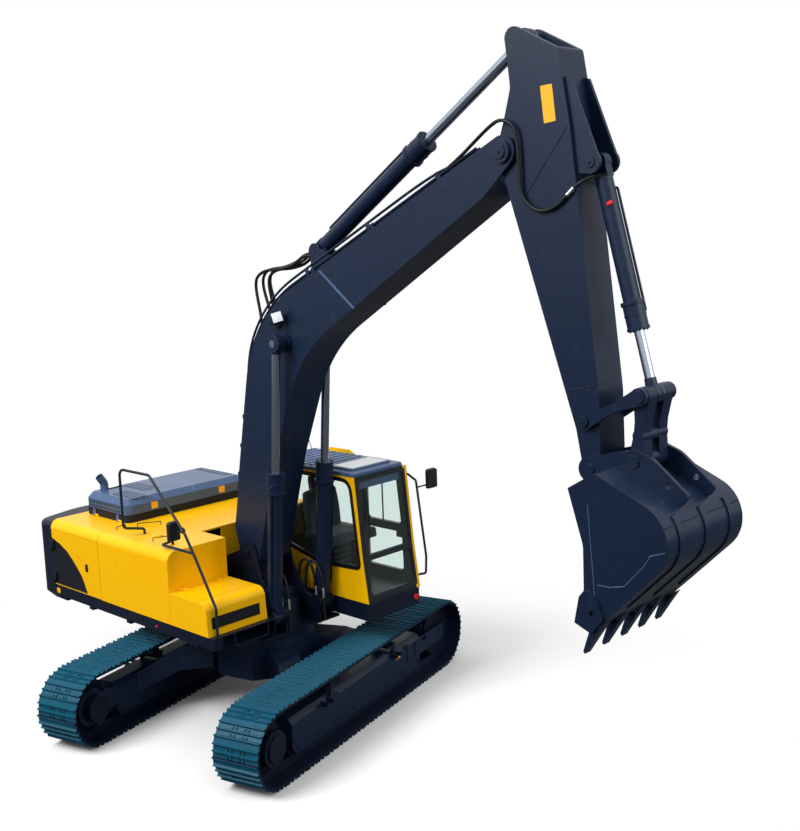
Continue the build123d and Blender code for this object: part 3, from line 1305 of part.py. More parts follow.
# Corners of the boom's side: along, up, radius
BOOM_CORNERS = (
    (-130, 130, 0),
    (20, 375, 60),
    (2383, 1727, 1650),
    (BOOM_LENGTH + 60, 137, 0),
    (BOOM_LENGTH - 26, -149, 0),
    (5700, -103, 400),
    (2640, 851, 1800),
    (1300, 389, 1500),
    (80, -172, 0),
)
FORK_START = BOOM_LENGTH - FORK_DEPTH

# Boom: a box girder of side plates between top and bottom flanges
with BuildPart() as boom:
    with BuildSketch(BOOM):
        make_face(rounded(BOOM_CORNERS))
        Circle(FOOT_RADIUS)
        with Locations((BOOM_LENGTH, 0)):
            Circle(TIP_RADIUS)
    extrude(amount=BOOM_WIDTH / 2, both=True)
    with BuildSketch(BOOM):
        make_face(rounded(inset(BOOM_CORNERS, BOOM_PLATE)))
        with Locations(((FOOT_RADIUS + FORK_START) / 2 + 15, 700)):
            Rectangle(FORK_START - FOOT_RADIUS - 80, 2400, mode=Mode.INTERSECT)
    extrude(amount=BOOM_WIDTH / 2 - BOOM_PLATE, both=True, mode=Mode.SUBTRACT)
    with BuildSketch(BOOM):
        Circle(PIN_RADIUS + PIN_RUN + 40)
    extrude(amount=BOOM_WIDTH / 2, both=True)
    with BuildSketch(BOOM):
        with Locations(BOOM_ROD_PIN):
            Circle(115)
    extrude(amount=BOOM_WIDTH / 2 + 40, both=True)
    for hand in (-1, 1):
        with BuildSketch(BOOM.offset(hand * (BOOM_LUG_Y + BOOM_LUG / 2))):
            with BuildLine():
                Polyline((3330, 1320), (3520, 1530), (3685, 1450), (3770, 1140), close=True)
            make_face()
            with Locations(ARM_BASE_PIN):
                Circle(95)
        extrude(amount=BOOM_LUG / 2, both=True)
    with BuildSketch(BOOM):
        with Locations(ARM_BASE_PIN):
            Circle(PIN_RADIUS)
    extrude(amount=BOOM_LUG_Y + 5, both=True)
    with BuildSketch(BOOM):
        with Locations((BOOM_LENGTH - FORK_DEPTH / 2 + TIP_RADIUS / 2 + 20, 0)):
            Rectangle(FORK_DEPTH + TIP_RADIUS + 40, 1200)
    extrude(amount=ARM_WIDTH / 2 + RUN, both=True, mode=Mode.SUBTRACT)
    for hand in (-1, 1):
        with BuildSketch(BOOM.offset(hand * (ARM_WIDTH / 2 + RUN))):
            with Locations((BOOM_LENGTH, 0)):
                Circle(110)
        extrude(amount=hand * (BOOM_WIDTH / 2 - ARM_WIDTH / 2 - RUN + 35))
    with BuildSketch(BOOM):
        with Locations((BOOM_LENGTH, 0)):
            Circle(PIN_RADIUS + 5)
    extrude(amount=BOOM_WIDTH / 2, both=True)
    with BuildSketch(BOOM):
        Circle(PIN_RADIUS + PIN_RUN)
    extrude(amount=BOOM_WIDTH, both=True, mode=Mode.SUBTRACT)
save(boom.part, "boom", NAVY)


# Pressure pipes along the boom's top, with their clamps, and the work lamp on its side
PIPE_RADIUS = 14.0
PIPE_RISE = 45.0
PIPE_ROWS = (-205.0, -150.0, 150.0, 205.0)
PIPE_START = 520.0
PIPE_END = 330.0
CLAMP_PLACES = (0.16, 0.5, 0.84)
CLAMP = 50.0
LAMP = (2660.0, 1330.0)
PIPE_BEND = inset(BOOM_CORNERS, -PIPE_RISE)[1:4]
TOP_BEND = inset(BOOM_CORNERS, -SEAT)[1:4]


def along_top(corners, place, rear):
    """Point on the rear or front straight of the boom's top at a share of its length, and its angle."""
    a, b = (corners[0], corners[1]) if rear else (corners[1], corners[2])
    length, angle = span(a, b)
    distance = PIPE_START + place * (length - 700) if rear else 700 + place * (length - 700 - PIPE_END)
    return (a[0] + distance * cos(radians(angle)), a[1] + distance * sin(radians(angle))), angle


with BuildPart() as pipes:
    rear_end, _ = along_top(PIPE_BEND, 0, True)
    front_end, _ = along_top(PIPE_BEND, 1, False)
    middle_bend = (PIPE_BEND[1][0], PIPE_BEND[1][1])
    for y in PIPE_ROWS:
        frame = BOOM.offset(-y)
        with BuildLine(frame) as path:
            FilletPolyline(rear_end, middle_bend, front_end, radius=PIPE_BEND[1][2])
        with BuildSketch(Plane(origin=path.line @ 0, z_dir=path.line % 0)):
            Circle(PIPE_RADIUS)
        sweep()
    for rear in (True, False):
        for place in CLAMP_PLACES:
            foot, angle = along_top(TOP_BEND, place * (0.55 if rear else 1.0), rear)
            for y in (sum(PIPE_ROWS[:2]) / 2, sum(PIPE_ROWS[2:]) / 2):
                with BuildSketch(BOOM.offset(-y)):
                    with Locations(foot):
                        Rectangle(
                            CLAMP, PIPE_RISE + PIPE_RADIUS - SEAT + 6, rotation=angle, align=(Align.CENTER, Align.MIN)
                        )
                extrude(amount=(PIPE_ROWS[1] - PIPE_ROWS[0]) / 2 + PIPE_RADIUS + 2, both=True)
    with BuildSketch(BOOM.offset(BOOM_WIDTH / 2 + SEAT)):
        with Locations(LAMP):
            Rectangle(60, 90)
    extrude(amount=30)
    with BuildSketch(BOOM.offset(BOOM_WIDTH / 2 + 25)):
        with Locations((LAMP[0] + 20, LAMP[1] + 60)):
            RectangleRounded(110, 120, 20, rotation=-30)
    extrude(amount=110)
save(pipes.part, "boom_pipes", NAVY)


# Corners of the arm's side: along, out, radius
ARM_CORNERS = (
    (-1000, 508, 0),
    (-642, 862, 50),
    (39, 772, 900),
    (ARM_LENGTH - 661, 298, 600),
    (ARM_LENGTH + 30, 96, 0),
    (ARM_LENGTH - 30, -96, 0),
    (ARM_LENGTH - 393, -54, 300),
    (200, -88, 200),
    (-20, -138, 0),
    (-139, -15, 0),
    (-282, 92, 150),
    (-522, 254, 200),
    (-968, 340, 0),
)
ARM_PIN_BOSS = 141.0
ARM_EAR_RADIUS = 100.0
ARM_TIP_RADIUS = 100.0

# Arm: box girder with open ears at its top
with BuildPart() as arm:
    with BuildSketch(ARM):
        make_face(rounded(ARM_CORNERS))
        Circle(ARM_PIN_BOSS)
        with Locations(ARM_EYE_PIN):
            Circle(ARM_EAR_RADIUS)
        with Locations((ARM_LENGTH, 0)):
            Circle(ARM_TIP_RADIUS)
    extrude(amount=ARM_WIDTH / 2, both=True)
    with BuildSketch(ARM):
        with BuildLine():
            Polyline(
                (-400, 700),
                (-300, 160),
                (200, -70),
                (ARM_LENGTH - 597, -30),
                (ARM_LENGTH - 560, 80),
                (ARM_LENGTH - 697, 270),
                (1050, 540),
                (39, 745),
                close=True,
            )
        make_face()
    extrude(amount=ARM_WIDTH / 2 - ARM_PLATE, both=True, mode=Mode.SUBTRACT)
    with BuildSketch(ARM):
        with BuildLine():
            Polyline((-1200, 900), (-1200, 200), (-560, 200), (-520, 640), (-700, 900), close=True)
        make_face()
    extrude(amount=ARM_WIDTH / 2 - ARM_EAR, both=True, mode=Mode.SUBTRACT)
    for hand in (-1, 1):
        with BuildSketch(ARM.offset(hand * (BUCKET_LUG_Y + BUCKET_LUG / 2))):
            with BuildLine():
                Polyline((-404, 800), (-350, 880), (45, 910), (429, 940), (520, 790), (470, 640), close=True)
            make_face()
            with Locations(BUCKET_BASE_PIN):
                Circle(105)
        extrude(amount=BUCKET_LUG / 2, both=True)
    with BuildSketch(ARM):
        with Locations(BUCKET_BASE_PIN):
            Circle(PIN_RADIUS)
    extrude(amount=BUCKET_LUG_Y + 5, both=True)
    with BuildSketch(ARM):
        with Locations(GUIDE_PIN):
            Circle(PIN_RADIUS)
    extrude(amount=GUIDE_OUTER + 12, both=True)
    with BuildSketch(ARM):
        Circle(PIN_RADIUS + 5 + PIN_RUN)
        with Locations((ARM_LENGTH, 0)):
            Circle(PIN_RADIUS + PIN_RUN)
    extrude(amount=ARM_WIDTH, both=True, mode=Mode.SUBTRACT)
save(arm.part, "arm", NAVY)

# Guide links beside the arm: waisted plates with round bosses and pin heads
BUCKET_EAR = world(BUCKET, BUCKET_EAR_PIN)
EAR_IN_ARM = ARM.to_local_coords(Vector(BUCKET_EAR[0], 0, BUCKET_EAR[1]))
EAR_PLACE = (EAR_IN_ARM.X, EAR_IN_ARM.Y)
GUIDE_BOSS = 82.0
GUIDE_WAIST = 42.0
PIN_HEAD = 58.0
PIN_HEAD_REACH = 14.0
LINK_BOSS = 85.0
LINK_WAIST = 48.0
LINK_TUBE = 60.0
LINK_TUBE_SHARE = 0.62


def waisted(a, b, end, waist):
    """Outline of a plate between two eyes, narrowed to half its waist in the middle."""
    length, angle = span(a, b)
    plane = Plane(origin=(a[0], a[1], 0), x_dir=(cos(radians(angle)), sin(radians(angle)), 0), z_dir=(0, 0, 1))
    places = (
        (0, end - 2), (length / 2 - 60, waist), (length / 2 + 60, waist), (length, end - 2),
        (length, 2 - end), (length / 2 + 60, -waist), (length / 2 - 60, -waist), (0, 2 - end),
    )
    corners = []
    for x, y in places:
        corner = plane.from_local_coords((x, y, 0))
        corners.append((corner.X, corner.Y, 0 if x in (0, length) else 90))
    return rounded(corners)


with BuildPart() as guide_links:
    for hand in (-1, 1):
        middle = hand * (GUIDE_INNER + GUIDE_OUTER) / 2
        with BuildSketch(ARM.offset(middle)):
            with Locations(GUIDE_PIN, LINK_PIN):
                Circle(GUIDE_BOSS)
            make_face(waisted(GUIDE_PIN, LINK_PIN, GUIDE_BOSS, GUIDE_WAIST))
            with Locations(GUIDE_PIN):
                Circle(PIN_RADIUS + PIN_RUN, mode=Mode.SUBTRACT)
        extrude(amount=(GUIDE_OUTER - GUIDE_INNER) / 2, both=True)
        with BuildSketch(ARM.offset(hand * (GUIDE_OUTER - 1))):
            with Locations(LINK_PIN):
                Circle(PIN_HEAD)
        extrude(amount=hand * (PIN_HEAD_REACH + 1))
save(guide_links.part, "guide_links", NAVY)

# Bucket link: two waisted cheeks joined by a cross tube and the bucket pin's boss
with BuildPart() as bucket_link:
    for hand in (-1, 1):
        with BuildSketch(ARM.offset(hand * (LINK_INNER + LINK_OUTER) / 2)):
            with Locations(LINK_PIN, EAR_PLACE):
                Circle(LINK_BOSS)
            make_face(waisted(LINK_PIN, EAR_PLACE, LINK_BOSS, LINK_WAIST))
        extrude(amount=(LINK_OUTER - LINK_INNER) / 2, both=True)
    with BuildSketch(ARM):
        with Locations(EAR_PLACE):
            Circle(LINK_BOSS)
    extrude(amount=LINK_OUTER, both=True)
    with BuildSketch(ARM):
        near, far = 1 - LINK_TUBE_SHARE, LINK_TUBE_SHARE
        with Locations((LINK_PIN[0] * near + EAR_PLACE[0] * far, LINK_PIN[1] * near + EAR_PLACE[1] * far)):
            Circle(LINK_TUBE)
    extrude(amount=LINK_OUTER, both=True)
    with BuildSketch(ARM):
        with Locations(EAR_PLACE):
            Circle(PIN_RADIUS + PIN_RUN)
    extrude(amount=LINK_OUTER + 5, both=True, mode=Mode.SUBTRACT)
save(bucket_link.part, "bucket_link", NAVY)


# Corners of the bucket's side: forward, up, radius
BUCKET_CORNERS = (
    (44, -93, 0),
    (330, 80, 40),
    (1337, -371, 365),
    (470, -1230, 200),
    (290, -1400, 0),
    (130, -1330, 0),
    (208, -1010, 120),
    (205, -603, 250),
)

# Ears of the bucket: forward, up, radius
EAR_CORNERS = (
    (-60, 90, 0),
    (20, 122, 40),
    (300, 200, 300),
    (500, 236, 150),
    (680, 170, 260),
    (1040, -120, 50),
    (960, -215, 30),
    (330, 55, 0),
    (60, -100, 0),
)
LIFT_EYE = (838.0, -45.0)
LIFT_EYE_RADIUS = 30.0
ARM_SWEEP = 150.0
WEAR_STRIP = 14.0
WEAR_WIDTH = 70.0
WEAR_PLACES = (-430.0, 0.0, 430.0)
CUTTER_THICK = 25.0
CUTTER_HOLE = (310.0, -1215.0)
CUTTER_CORNERS = (
    (118, -1335, 0),
    (170, -1080, 60),
    (235, -1000, 40),
    (360, -1060, 60),
    (430, -1250, 60),
    (300, -1405, 0),
)

# Bucket: wrapped shell between side plates, with ears, wear strips and side cutters
with BuildPart() as bucket:
    with BuildSketch(BUCKET):
        make_face(rounded(BUCKET_CORNERS))
    extrude(amount=BUCKET_HALF, both=True)
    for y in WEAR_PLACES:
        with BuildSketch(BUCKET.offset(y)):
            make_face(rounded(inset(BUCKET_CORNERS, -WEAR_STRIP)))
            with Locations((1000, -900)):
                Rectangle(900, 1300, mode=Mode.INTERSECT)
        extrude(amount=WEAR_WIDTH / 2, both=True)
    with BuildSketch(BUCKET):
        make_face(rounded(inset(BUCKET_CORNERS, BUCKET_SHELL)))
        with BuildLine():
            Polyline(
                (85, -105), (-20, -140), (-20, -1350), (200, -1400), (262, -1350), (300, -1010), (300, -603), close=True
            )
        make_face()
    extrude(amount=BUCKET_HALF - BUCKET_SIDE, both=True, mode=Mode.SUBTRACT)
    with BuildSketch(BUCKET):
        Circle(ARM_SWEEP)
    extrude(amount=ARM_WIDTH / 2 + RUN, both=True, mode=Mode.SUBTRACT)
    for hand in (-1, 1):
        with BuildSketch(BUCKET.offset(hand * (EAR_INNER + EAR_THICK / 2))):
            make_face(rounded(EAR_CORNERS))
            Circle(118)
            with Locations(BUCKET_EAR_PIN):
                Circle(112)
            make_face(rounded(inset(BUCKET_CORNERS, BUCKET_SHELL / 2)), mode=Mode.SUBTRACT)
            with Locations(LIFT_EYE):
                Circle(LIFT_EYE_RADIUS, mode=Mode.SUBTRACT)
        extrude(amount=EAR_THICK / 2, both=True)
        with BuildSketch(BUCKET.offset(hand * (EAR_INNER + EAR_THICK / 2))):
            Circle(PIN_HEAD)
            with Locations(BUCKET_EAR_PIN):
                Circle(PIN_HEAD)
        extrude(amount=hand * (EAR_THICK / 2 + PIN_HEAD_REACH))
        with BuildSketch(BUCKET.offset(hand * (BUCKET_HALF - 1))):
            make_face(rounded(CUTTER_CORNERS))
            with Locations(CUTTER_HOLE):
                Circle(30, mode=Mode.SUBTRACT)
        extrude(amount=hand * (CUTTER_THICK + 1))
    with BuildSketch(BUCKET):
        Circle(PIN_RADIUS)
        with Locations(BUCKET_EAR_PIN):
            Circle(PIN_RADIUS)
    extrude(amount=EAR_INNER + 10, both=True)
save(bucket.part, "bucket", NAVY)

# Teeth: adapters on the lip with wedge points
with BuildPart() as teeth:
    pitch = (2 * BUCKET_HALF - TOOTH_WIDTH) / (TOOTH_COUNT - 1)
    for i in range(TOOTH_COUNT):
        y = -BUCKET_HALF + TOOTH_WIDTH / 2 + i * pitch
        with BuildSketch(BUCKET.offset(y)):
            with BuildLine():
                Polyline(
                    (262, -1398), (195, -1600), (212, -1623), (330, -1440), (430, -1292), (316, -1396), close=True
                )
            make_face()
        extrude(amount=TOOTH_WIDTH / 2, both=True)
    add(bucket.part, mode=Mode.SUBTRACT)
save(teeth.part, "bucket_teeth", NAVY)


def cylinder_plane(pin, eye, y):
    """Plane of one cylinder at distance y to the left, its X along the rod."""
    length, angle = span(pin, eye)
    return length, Plane(
        origin=(pin[0], y, pin[1]),
        x_dir=(cos(radians(angle)), 0, sin(radians(angle))),
        z_dir=(0, -1, 0),
    )


def across(plane, distance):
    """Plane square to a cylinder's axis at a distance from its pin."""
    return Plane(origin=plane.from_local_coords((distance, 0, 0)), z_dir=plane.x_dir, x_dir=plane.z_dir)


# One row for each cylinder: name, base pin, rod eye, y, barrel, gland and rod radii, barrel
# length, place of the piston end, eye radius and half width, right and left reach of the eye's stub
CYLINDERS = (
    ("boom_cylinder_right", BOOM_BASE_PIN, world(BOOM, BOOM_ROD_PIN), -BOOM_CYLINDER_Y,
     BOOM_BARREL, BOOM_GLAND, BOOM_ROD, 1820, 1575, 100, EYE_HALF - 3, 65, 99),
    ("boom_cylinder_left", BOOM_BASE_PIN, world(BOOM, BOOM_ROD_PIN), BOOM_CYLINDER_Y,
     BOOM_BARREL, BOOM_GLAND, BOOM_ROD, 1820, 1575, 100, EYE_HALF - 3, 99, 65),
    ("arm_cylinder", world(BOOM, ARM_BASE_PIN), world(ARM, ARM_EYE_PIN), 0,
     ARM_BARREL, ARM_GLAND, ARM_ROD, 2010, 1415, 95, 59, 150, 150),
    ("bucket_cylinder", world(ARM, BUCKET_BASE_PIN), world(ARM, LINK_PIN), 0,
     BUCKET_BARREL, BUCKET_GLAND, BUCKET_ROD, 1560, 470, 88, 50, 54, 54),
)
NECK = 140.0
BORE_START = 190.0
for (name, pin, eye, y, barrel, gland, rod, length, piston, eye_radius, eye_half,
     stub_right, stub_left) in CYLINDERS:
    reach, plane = cylinder_plane(pin, eye, y)
    with BuildPart() as tube:
        with BuildSketch(plane):
            Circle(eye_radius)
        extrude(amount=eye_half, both=True)
        with BuildSketch(across(plane, 0)):
            Rectangle(2 * eye_half, 2 * eye_radius - 20)
        extrude(amount=NECK + 10)
        with BuildSketch(across(plane, NECK)):
            Circle(barrel)
        extrude(amount=length - NECK)
        with BuildSketch(across(plane, length - 270)):
            Circle(gland)
        extrude(amount=270)
        with BuildSketch(across(plane, BORE_START)):
            Circle(rod + BORE_RUN)
        extrude(amount=length, mode=Mode.SUBTRACT)
        with BuildSketch(plane):
            Circle(PIN_RADIUS + PIN_RUN)
        extrude(amount=eye_half + 5, both=True, mode=Mode.SUBTRACT)
    save(tube.part, name + "_barrel", NAVY)
    with BuildPart() as ram:
        with BuildSketch(across(plane, piston)):
            Circle(rod)
        extrude(amount=reach - piston)
        with BuildSketch(plane):
            with Locations((reach, 0)):
                Circle(eye_radius)
        extrude(amount=eye_half, both=True)
        with BuildSketch(plane):
            with Locations((reach, 0)):
                Circle(PIN_RADIUS)
        extrude(amount=stub_right)
        with BuildSketch(plane):
            with Locations((reach, 0)):
                Circle(PIN_RADIUS)
        extrude(amount=-stub_left)
    save(ram.part, name + "_rod", CHROME)
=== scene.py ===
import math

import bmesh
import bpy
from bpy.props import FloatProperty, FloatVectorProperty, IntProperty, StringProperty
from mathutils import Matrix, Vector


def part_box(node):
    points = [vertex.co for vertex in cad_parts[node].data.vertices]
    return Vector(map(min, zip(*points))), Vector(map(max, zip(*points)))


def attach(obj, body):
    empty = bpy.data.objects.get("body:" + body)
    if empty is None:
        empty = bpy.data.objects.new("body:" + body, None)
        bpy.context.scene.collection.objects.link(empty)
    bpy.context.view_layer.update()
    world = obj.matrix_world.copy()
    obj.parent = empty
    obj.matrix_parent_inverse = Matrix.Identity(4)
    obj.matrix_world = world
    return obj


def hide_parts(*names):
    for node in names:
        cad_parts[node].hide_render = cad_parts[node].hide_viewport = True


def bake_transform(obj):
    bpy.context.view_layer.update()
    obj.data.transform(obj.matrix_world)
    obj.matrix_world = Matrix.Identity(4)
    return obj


bl_info = {
    "name": "Crawler Excavator", "version": (1, 0, 0), "blender": (4, 5, 0),
    "location": "View3D > Sidebar > Excavator",
    "description": "Dresses the packed crawler excavator with its finishes, trim and studio",
    "category": "Add Mesh",
}

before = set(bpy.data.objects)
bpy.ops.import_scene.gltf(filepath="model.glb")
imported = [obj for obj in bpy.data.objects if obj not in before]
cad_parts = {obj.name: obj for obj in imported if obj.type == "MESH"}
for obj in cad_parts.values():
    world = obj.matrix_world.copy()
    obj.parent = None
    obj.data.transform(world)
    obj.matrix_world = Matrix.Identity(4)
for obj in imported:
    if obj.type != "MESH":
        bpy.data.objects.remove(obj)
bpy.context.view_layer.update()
MM = 0.001


def in_plane(origin, angle):
    """Matrix of a side-view plane of the front: along, to the machine's left, and up."""
    c, s = math.cos(math.radians(angle)), math.sin(math.radians(angle))
    return Matrix(((c, 0, -s, origin[0]), (0, 1, 0, 0), (s, 0, c, origin[1]), (0, 0, 0, 1)))


def side_point(plane, along, up):
    """Machine point, forward and up, of a point in a side-view plane."""
    spot = plane @ Vector((along, 0, up))
    return spot.x, spot.z


# The working planes and pins of the front, as the source has them, in metres
UPPER_SIDE = 1.450
BOOM_LENGTH = 6.176
ARM_LENGTH = 3.097
BOOM_HALF = 0.250
ARM_HALF = 0.200
BUCKET_HALF = 0.650
RAM_SIDE = 0.395
BOOM = in_plane((0.130, 2.060), 48.26)
ARM = in_plane(side_point(BOOM, BOOM_LENGTH, 0), -72.08)
BUCKET = in_plane(side_point(ARM, ARM_LENGTH, 0), 0)
BOOM_BASE = (0.720, 1.375)
BOOM_EYE = side_point(BOOM, 2.565, 1.110)
ARM_BASE = side_point(BOOM, 3.600, 1.500)
ARM_EYE = side_point(ARM, -0.934, 0.433)
BUCKET_BASE = side_point(ARM, 0.433, 0.843)
LINK_PIN = side_point(ARM, ARM_LENGTH - 0.520, 0.727)


def cylinder_plane(base, eye):
    """Plane of one cylinder, its first axis along the rod from the base pin."""
    return in_plane(base, math.degrees(math.atan2(eye[1] - base[1], eye[0] - base[0])))


BOOM_RAM = cylinder_plane(BOOM_BASE, BOOM_EYE)
ARM_RAM = cylinder_plane(ARM_BASE, ARM_EYE)
BUCKET_RAM = cylinder_plane(BUCKET_BASE, LINK_PIN)

# The undercarriage stands turned under the upper body
TRACK = Matrix.Rotation(math.radians(104.7), 4, "Z")
TRACK_OFFSET = 0.028
HALF_TUMBLER = 2.010
HALF_GAUGE = 1.295
PITCH_RADIUS = 0.360
AXLE_HEIGHT = 0.456
SHOE_COUNT = 50
SHOE_FACE = 0.070
HALF_FRAME = 0.165
# Walls of the cab, the rake of its front, and where its dark lining starts behind the rear wall
CAB_RIGHT = 0.525
CAB_LEFT = 1.455
CAB_FRONT = 1.530
CAB_RAKE = 0.115
LINING_REAR = -0.430
SCREEN_KNEE = (1.335, 2.000)
SCREEN_BROW = (1.240, 2.990)


def linear(code):
    """Linear colour with alpha from an sRGB hex value such as FFC20A."""
    channels = []
    for i in (0, 2, 4):
        value = int(code[i:i + 2], 16) / 255
        channels.append(value / 12.92 if value <= 0.04045 else ((value + 0.055) / 1.055) ** 2.4)
    return (*channels, 1.0)


def add(tree, kind, inputs=None, **settings):
    """Add a node, set its properties, and fill its inputs with values, sockets or nodes' first outputs."""
    node = tree.nodes.new(kind)
    for name, value in settings.items():
        setattr(node, name, value)
    for name, value in (inputs or {}).items():
        if isinstance(value, bpy.types.Node):
            value = next(socket for socket in value.outputs if socket.enabled)
        if isinstance(value, bpy.types.NodeSocket):
            tree.links.new(value, node.inputs[name])
        else:
            node.inputs[name].default_value = value
    return node


def new_material(name):
    """Empty node material and its tree."""
    material = bpy.data.materials.new(name)
    material.use_nodes = True
    material.node_tree.nodes.clear()
    return material, material.node_tree


class FinishSizes(bpy.types.PropertyGroup):
    """Colours and pattern sizes of the finishes."""

    yellow: StringProperty(name="Body yellow", description="Enamel of the body panels", default="FFC900")
    amber: StringProperty(name="Shaded yellow", description="Deeper tone of the yellow", default="FFB800")
    navy: StringProperty(name="Boom navy", description="Enamel of boom, arm and bucket", default="15253F")
    charcoal: StringProperty(name="Frame charcoal", description="Enamel of the frames", default="0E182C")
    slate: StringProperty(name="Hood slate", description="Enamel of hood and cab roof", default="4D658B")
    shoe: StringProperty(name="Shoe teal", description="Coat of the track shoes", default="04536B")
    peel: FloatProperty(name="Orange peel", description="Grain of the enamel", default=9 * MM, unit="LENGTH")
    edge: FloatProperty(name="Edge", description="Radius of the rounded edge", default=5 * MM, unit="LENGTH")


class TrimSizes(bpy.types.PropertyGroup):
    """Sizes of the trim, the fasteners and the hoses."""

    rubber: FloatProperty(
        name="Window rubber", description="Width of the border", default=0.045, unit="LENGTH",
    )
    hose: FloatProperty(name="Hose", description="Radius of a pressure hose", default=0.016, unit="LENGTH")
    bead: FloatProperty(name="Weld bead", description="Half width of a bead", default=0.006, unit="LENGTH")
    shoes: IntProperty(name="Track shoes", description="Shoes to each track", default=SHOE_COUNT)


class StageSizes(bpy.types.PropertyGroup):
    """Camera and studio of the catalogue picture."""

    camera: FloatVectorProperty(
        name="Camera", description="Place of the camera", default=(11.496, -9.324, 6.122),
        subtype="TRANSLATION",
    )
    azimuth: FloatProperty(name="Azimuth", description="Camera round the machine, degrees", default=45.3316)
    elevation: FloatProperty(name="Elevation", description="Camera above level, degrees", default=9.3708)
    roll: FloatProperty(name="Roll", description="Turn of the picture, degrees", default=-2.3142)
    focal: FloatProperty(name="Focal length", description="Lens in millimetres", default=51.966)
    shift: FloatVectorProperty(name="Shift", description="Lens shift", size=2, default=(0.0386, -0.0022))


FINISH = {}
NODE_FINISH = {
    "track_near": "shoe", "track_far": "shoe", "sprockets": "charcoal", "idlers": "charcoal",
    "track_rollers": "charcoal", "side_frame_near": "navy", "side_frame_far": "navy", "x_frame": "navy",
    "main_frame": "charcoal", "counterweight": "charcoal", "cab_base": "charcoal", "engine_block": "cast",
    "exhaust_stack": "slate", "windscreen_frame": "plastic", "handrails": "rail", "mirrors": "plastic",
    "cab_glass": "glass", "door_glass": "glass", "tank_housing": "yellow", "toolbox": "yellow",
    "toolbox_lid": "yellow", "pump_room_door": "yellow", "radiator_door": "yellow", "bay_cover": "yellow",
    "cab_shell": "cab", "cab_door": "cab", "engine_hood": "slate", "cab_roof": "slate", "seat": "fabric",
    "consoles": "plastic",
}


def enamel(name, code, roughness, coat, shade, peel, bump, edge, scuff):
    """Sprayed and baked enamel: even colour, faint orange peel, dust that dulls it, bright rubbed edges."""
    material, tree = new_material(name)
    place = add(tree, "ShaderNodeTexCoord").outputs["Object"]
    broad = add(tree, "ShaderNodeTexNoise", {"Vector": place, "Scale": 0.9, "Detail": 3.0})
    tone = add(
        tree, "ShaderNodeMix", {"Factor": broad, "A": linear(code), "B": linear(shade)}, data_type="RGBA",
    )
    rubbed = add(tree, "ShaderNodeTexNoise", {"Vector": place, "Scale": 14.0, "Detail": 5.0})
    worn = add(
        tree, "ShaderNodeMapRange", {"Value": rubbed, "From Min": 0.60, "From Max": 0.72, "To Max": 0.35},
    )
    colour = add(tree, "ShaderNodeMix", {"Factor": worn, "A": tone, "B": linear(scuff)}, data_type="RGBA")
    dust = add(tree, "ShaderNodeTexNoise", {"Vector": place, "Scale": 4.0, "Detail": 6.0})
    dull = add(
        tree, "ShaderNodeMapRange", {"Value": dust, "To Min": roughness - 0.05, "To Max": roughness + 0.08},
    )
    grain = add(tree, "ShaderNodeTexNoise", {"Vector": place, "Scale": 1 / peel, "Detail": 1.0})
    round_edge = add(tree, "ShaderNodeBevel", {"Radius": edge}, samples=4)
    relief = add(
        tree, "ShaderNodeBump",
        {"Height": grain, "Strength": bump, "Distance": 0.2 * MM, "Normal": round_edge},
    )
    shader = add(
        tree, "ShaderNodeBsdfPrincipled",
        {
            "Base Color": colour, "Roughness": dull, "Specular IOR Level": 0.22, "Coat Weight": coat,
            "Coat Roughness": 0.16, "Normal": relief,
        },
    )
    add(tree, "ShaderNodeOutputMaterial", {"Surface": shader})
    return material


def over_paint(material, tree, mask, code):
    """Lay a second colour over an enamel's own where a mask is 1."""
    shader = next(node for node in tree.nodes if node.type == "BSDF_PRINCIPLED")
    paint = shader.inputs["Base Color"].links[0].from_socket
    mixed = add(tree, "ShaderNodeMix", {"Factor": mask, "A": paint, "B": linear(code)}, data_type="RGBA")
    tree.links.new(mixed.outputs["Result"], shader.inputs["Base Color"])
    return material


def sums(tree):
    """Shorthand for arithmetic in a tree."""
    return lambda kind, a, b: add(tree, "ShaderNodeMath", {0: a, 1: b}, operation=kind).outputs["Value"]


def cab_enamel(material, lining):
    """Turn an enamel into the cab's: dark lining inside, dark header and sill between its front pillars."""
    tree = material.node_tree
    wall, pillar, skin = 0.065, 0.010, 0.008
    place = add(tree, "ShaderNodeTexCoord")
    spot = add(tree, "ShaderNodeSeparateXYZ", {"Vector": place.outputs["Object"]})
    test = sums(tree)
    x, y, z = (spot.outputs[axis] for axis in "XYZ")
    inside = test("LESS_THAN", test("ADD", x, test("MULTIPLY", z, CAB_RAKE)), CAB_FRONT)
    behind = test("MULTIPLY", test("LESS_THAN", y, CAB_LEFT - pillar), inside)
    left = test("MAXIMUM", behind, test("LESS_THAN", y, CAB_LEFT - wall))
    across = test("MULTIPLY", left, test("GREATER_THAN", y, CAB_RIGHT + skin))
    return over_paint(material, tree, test("MULTIPLY", across, test("GREATER_THAN", x, LINING_REAR)), lining)


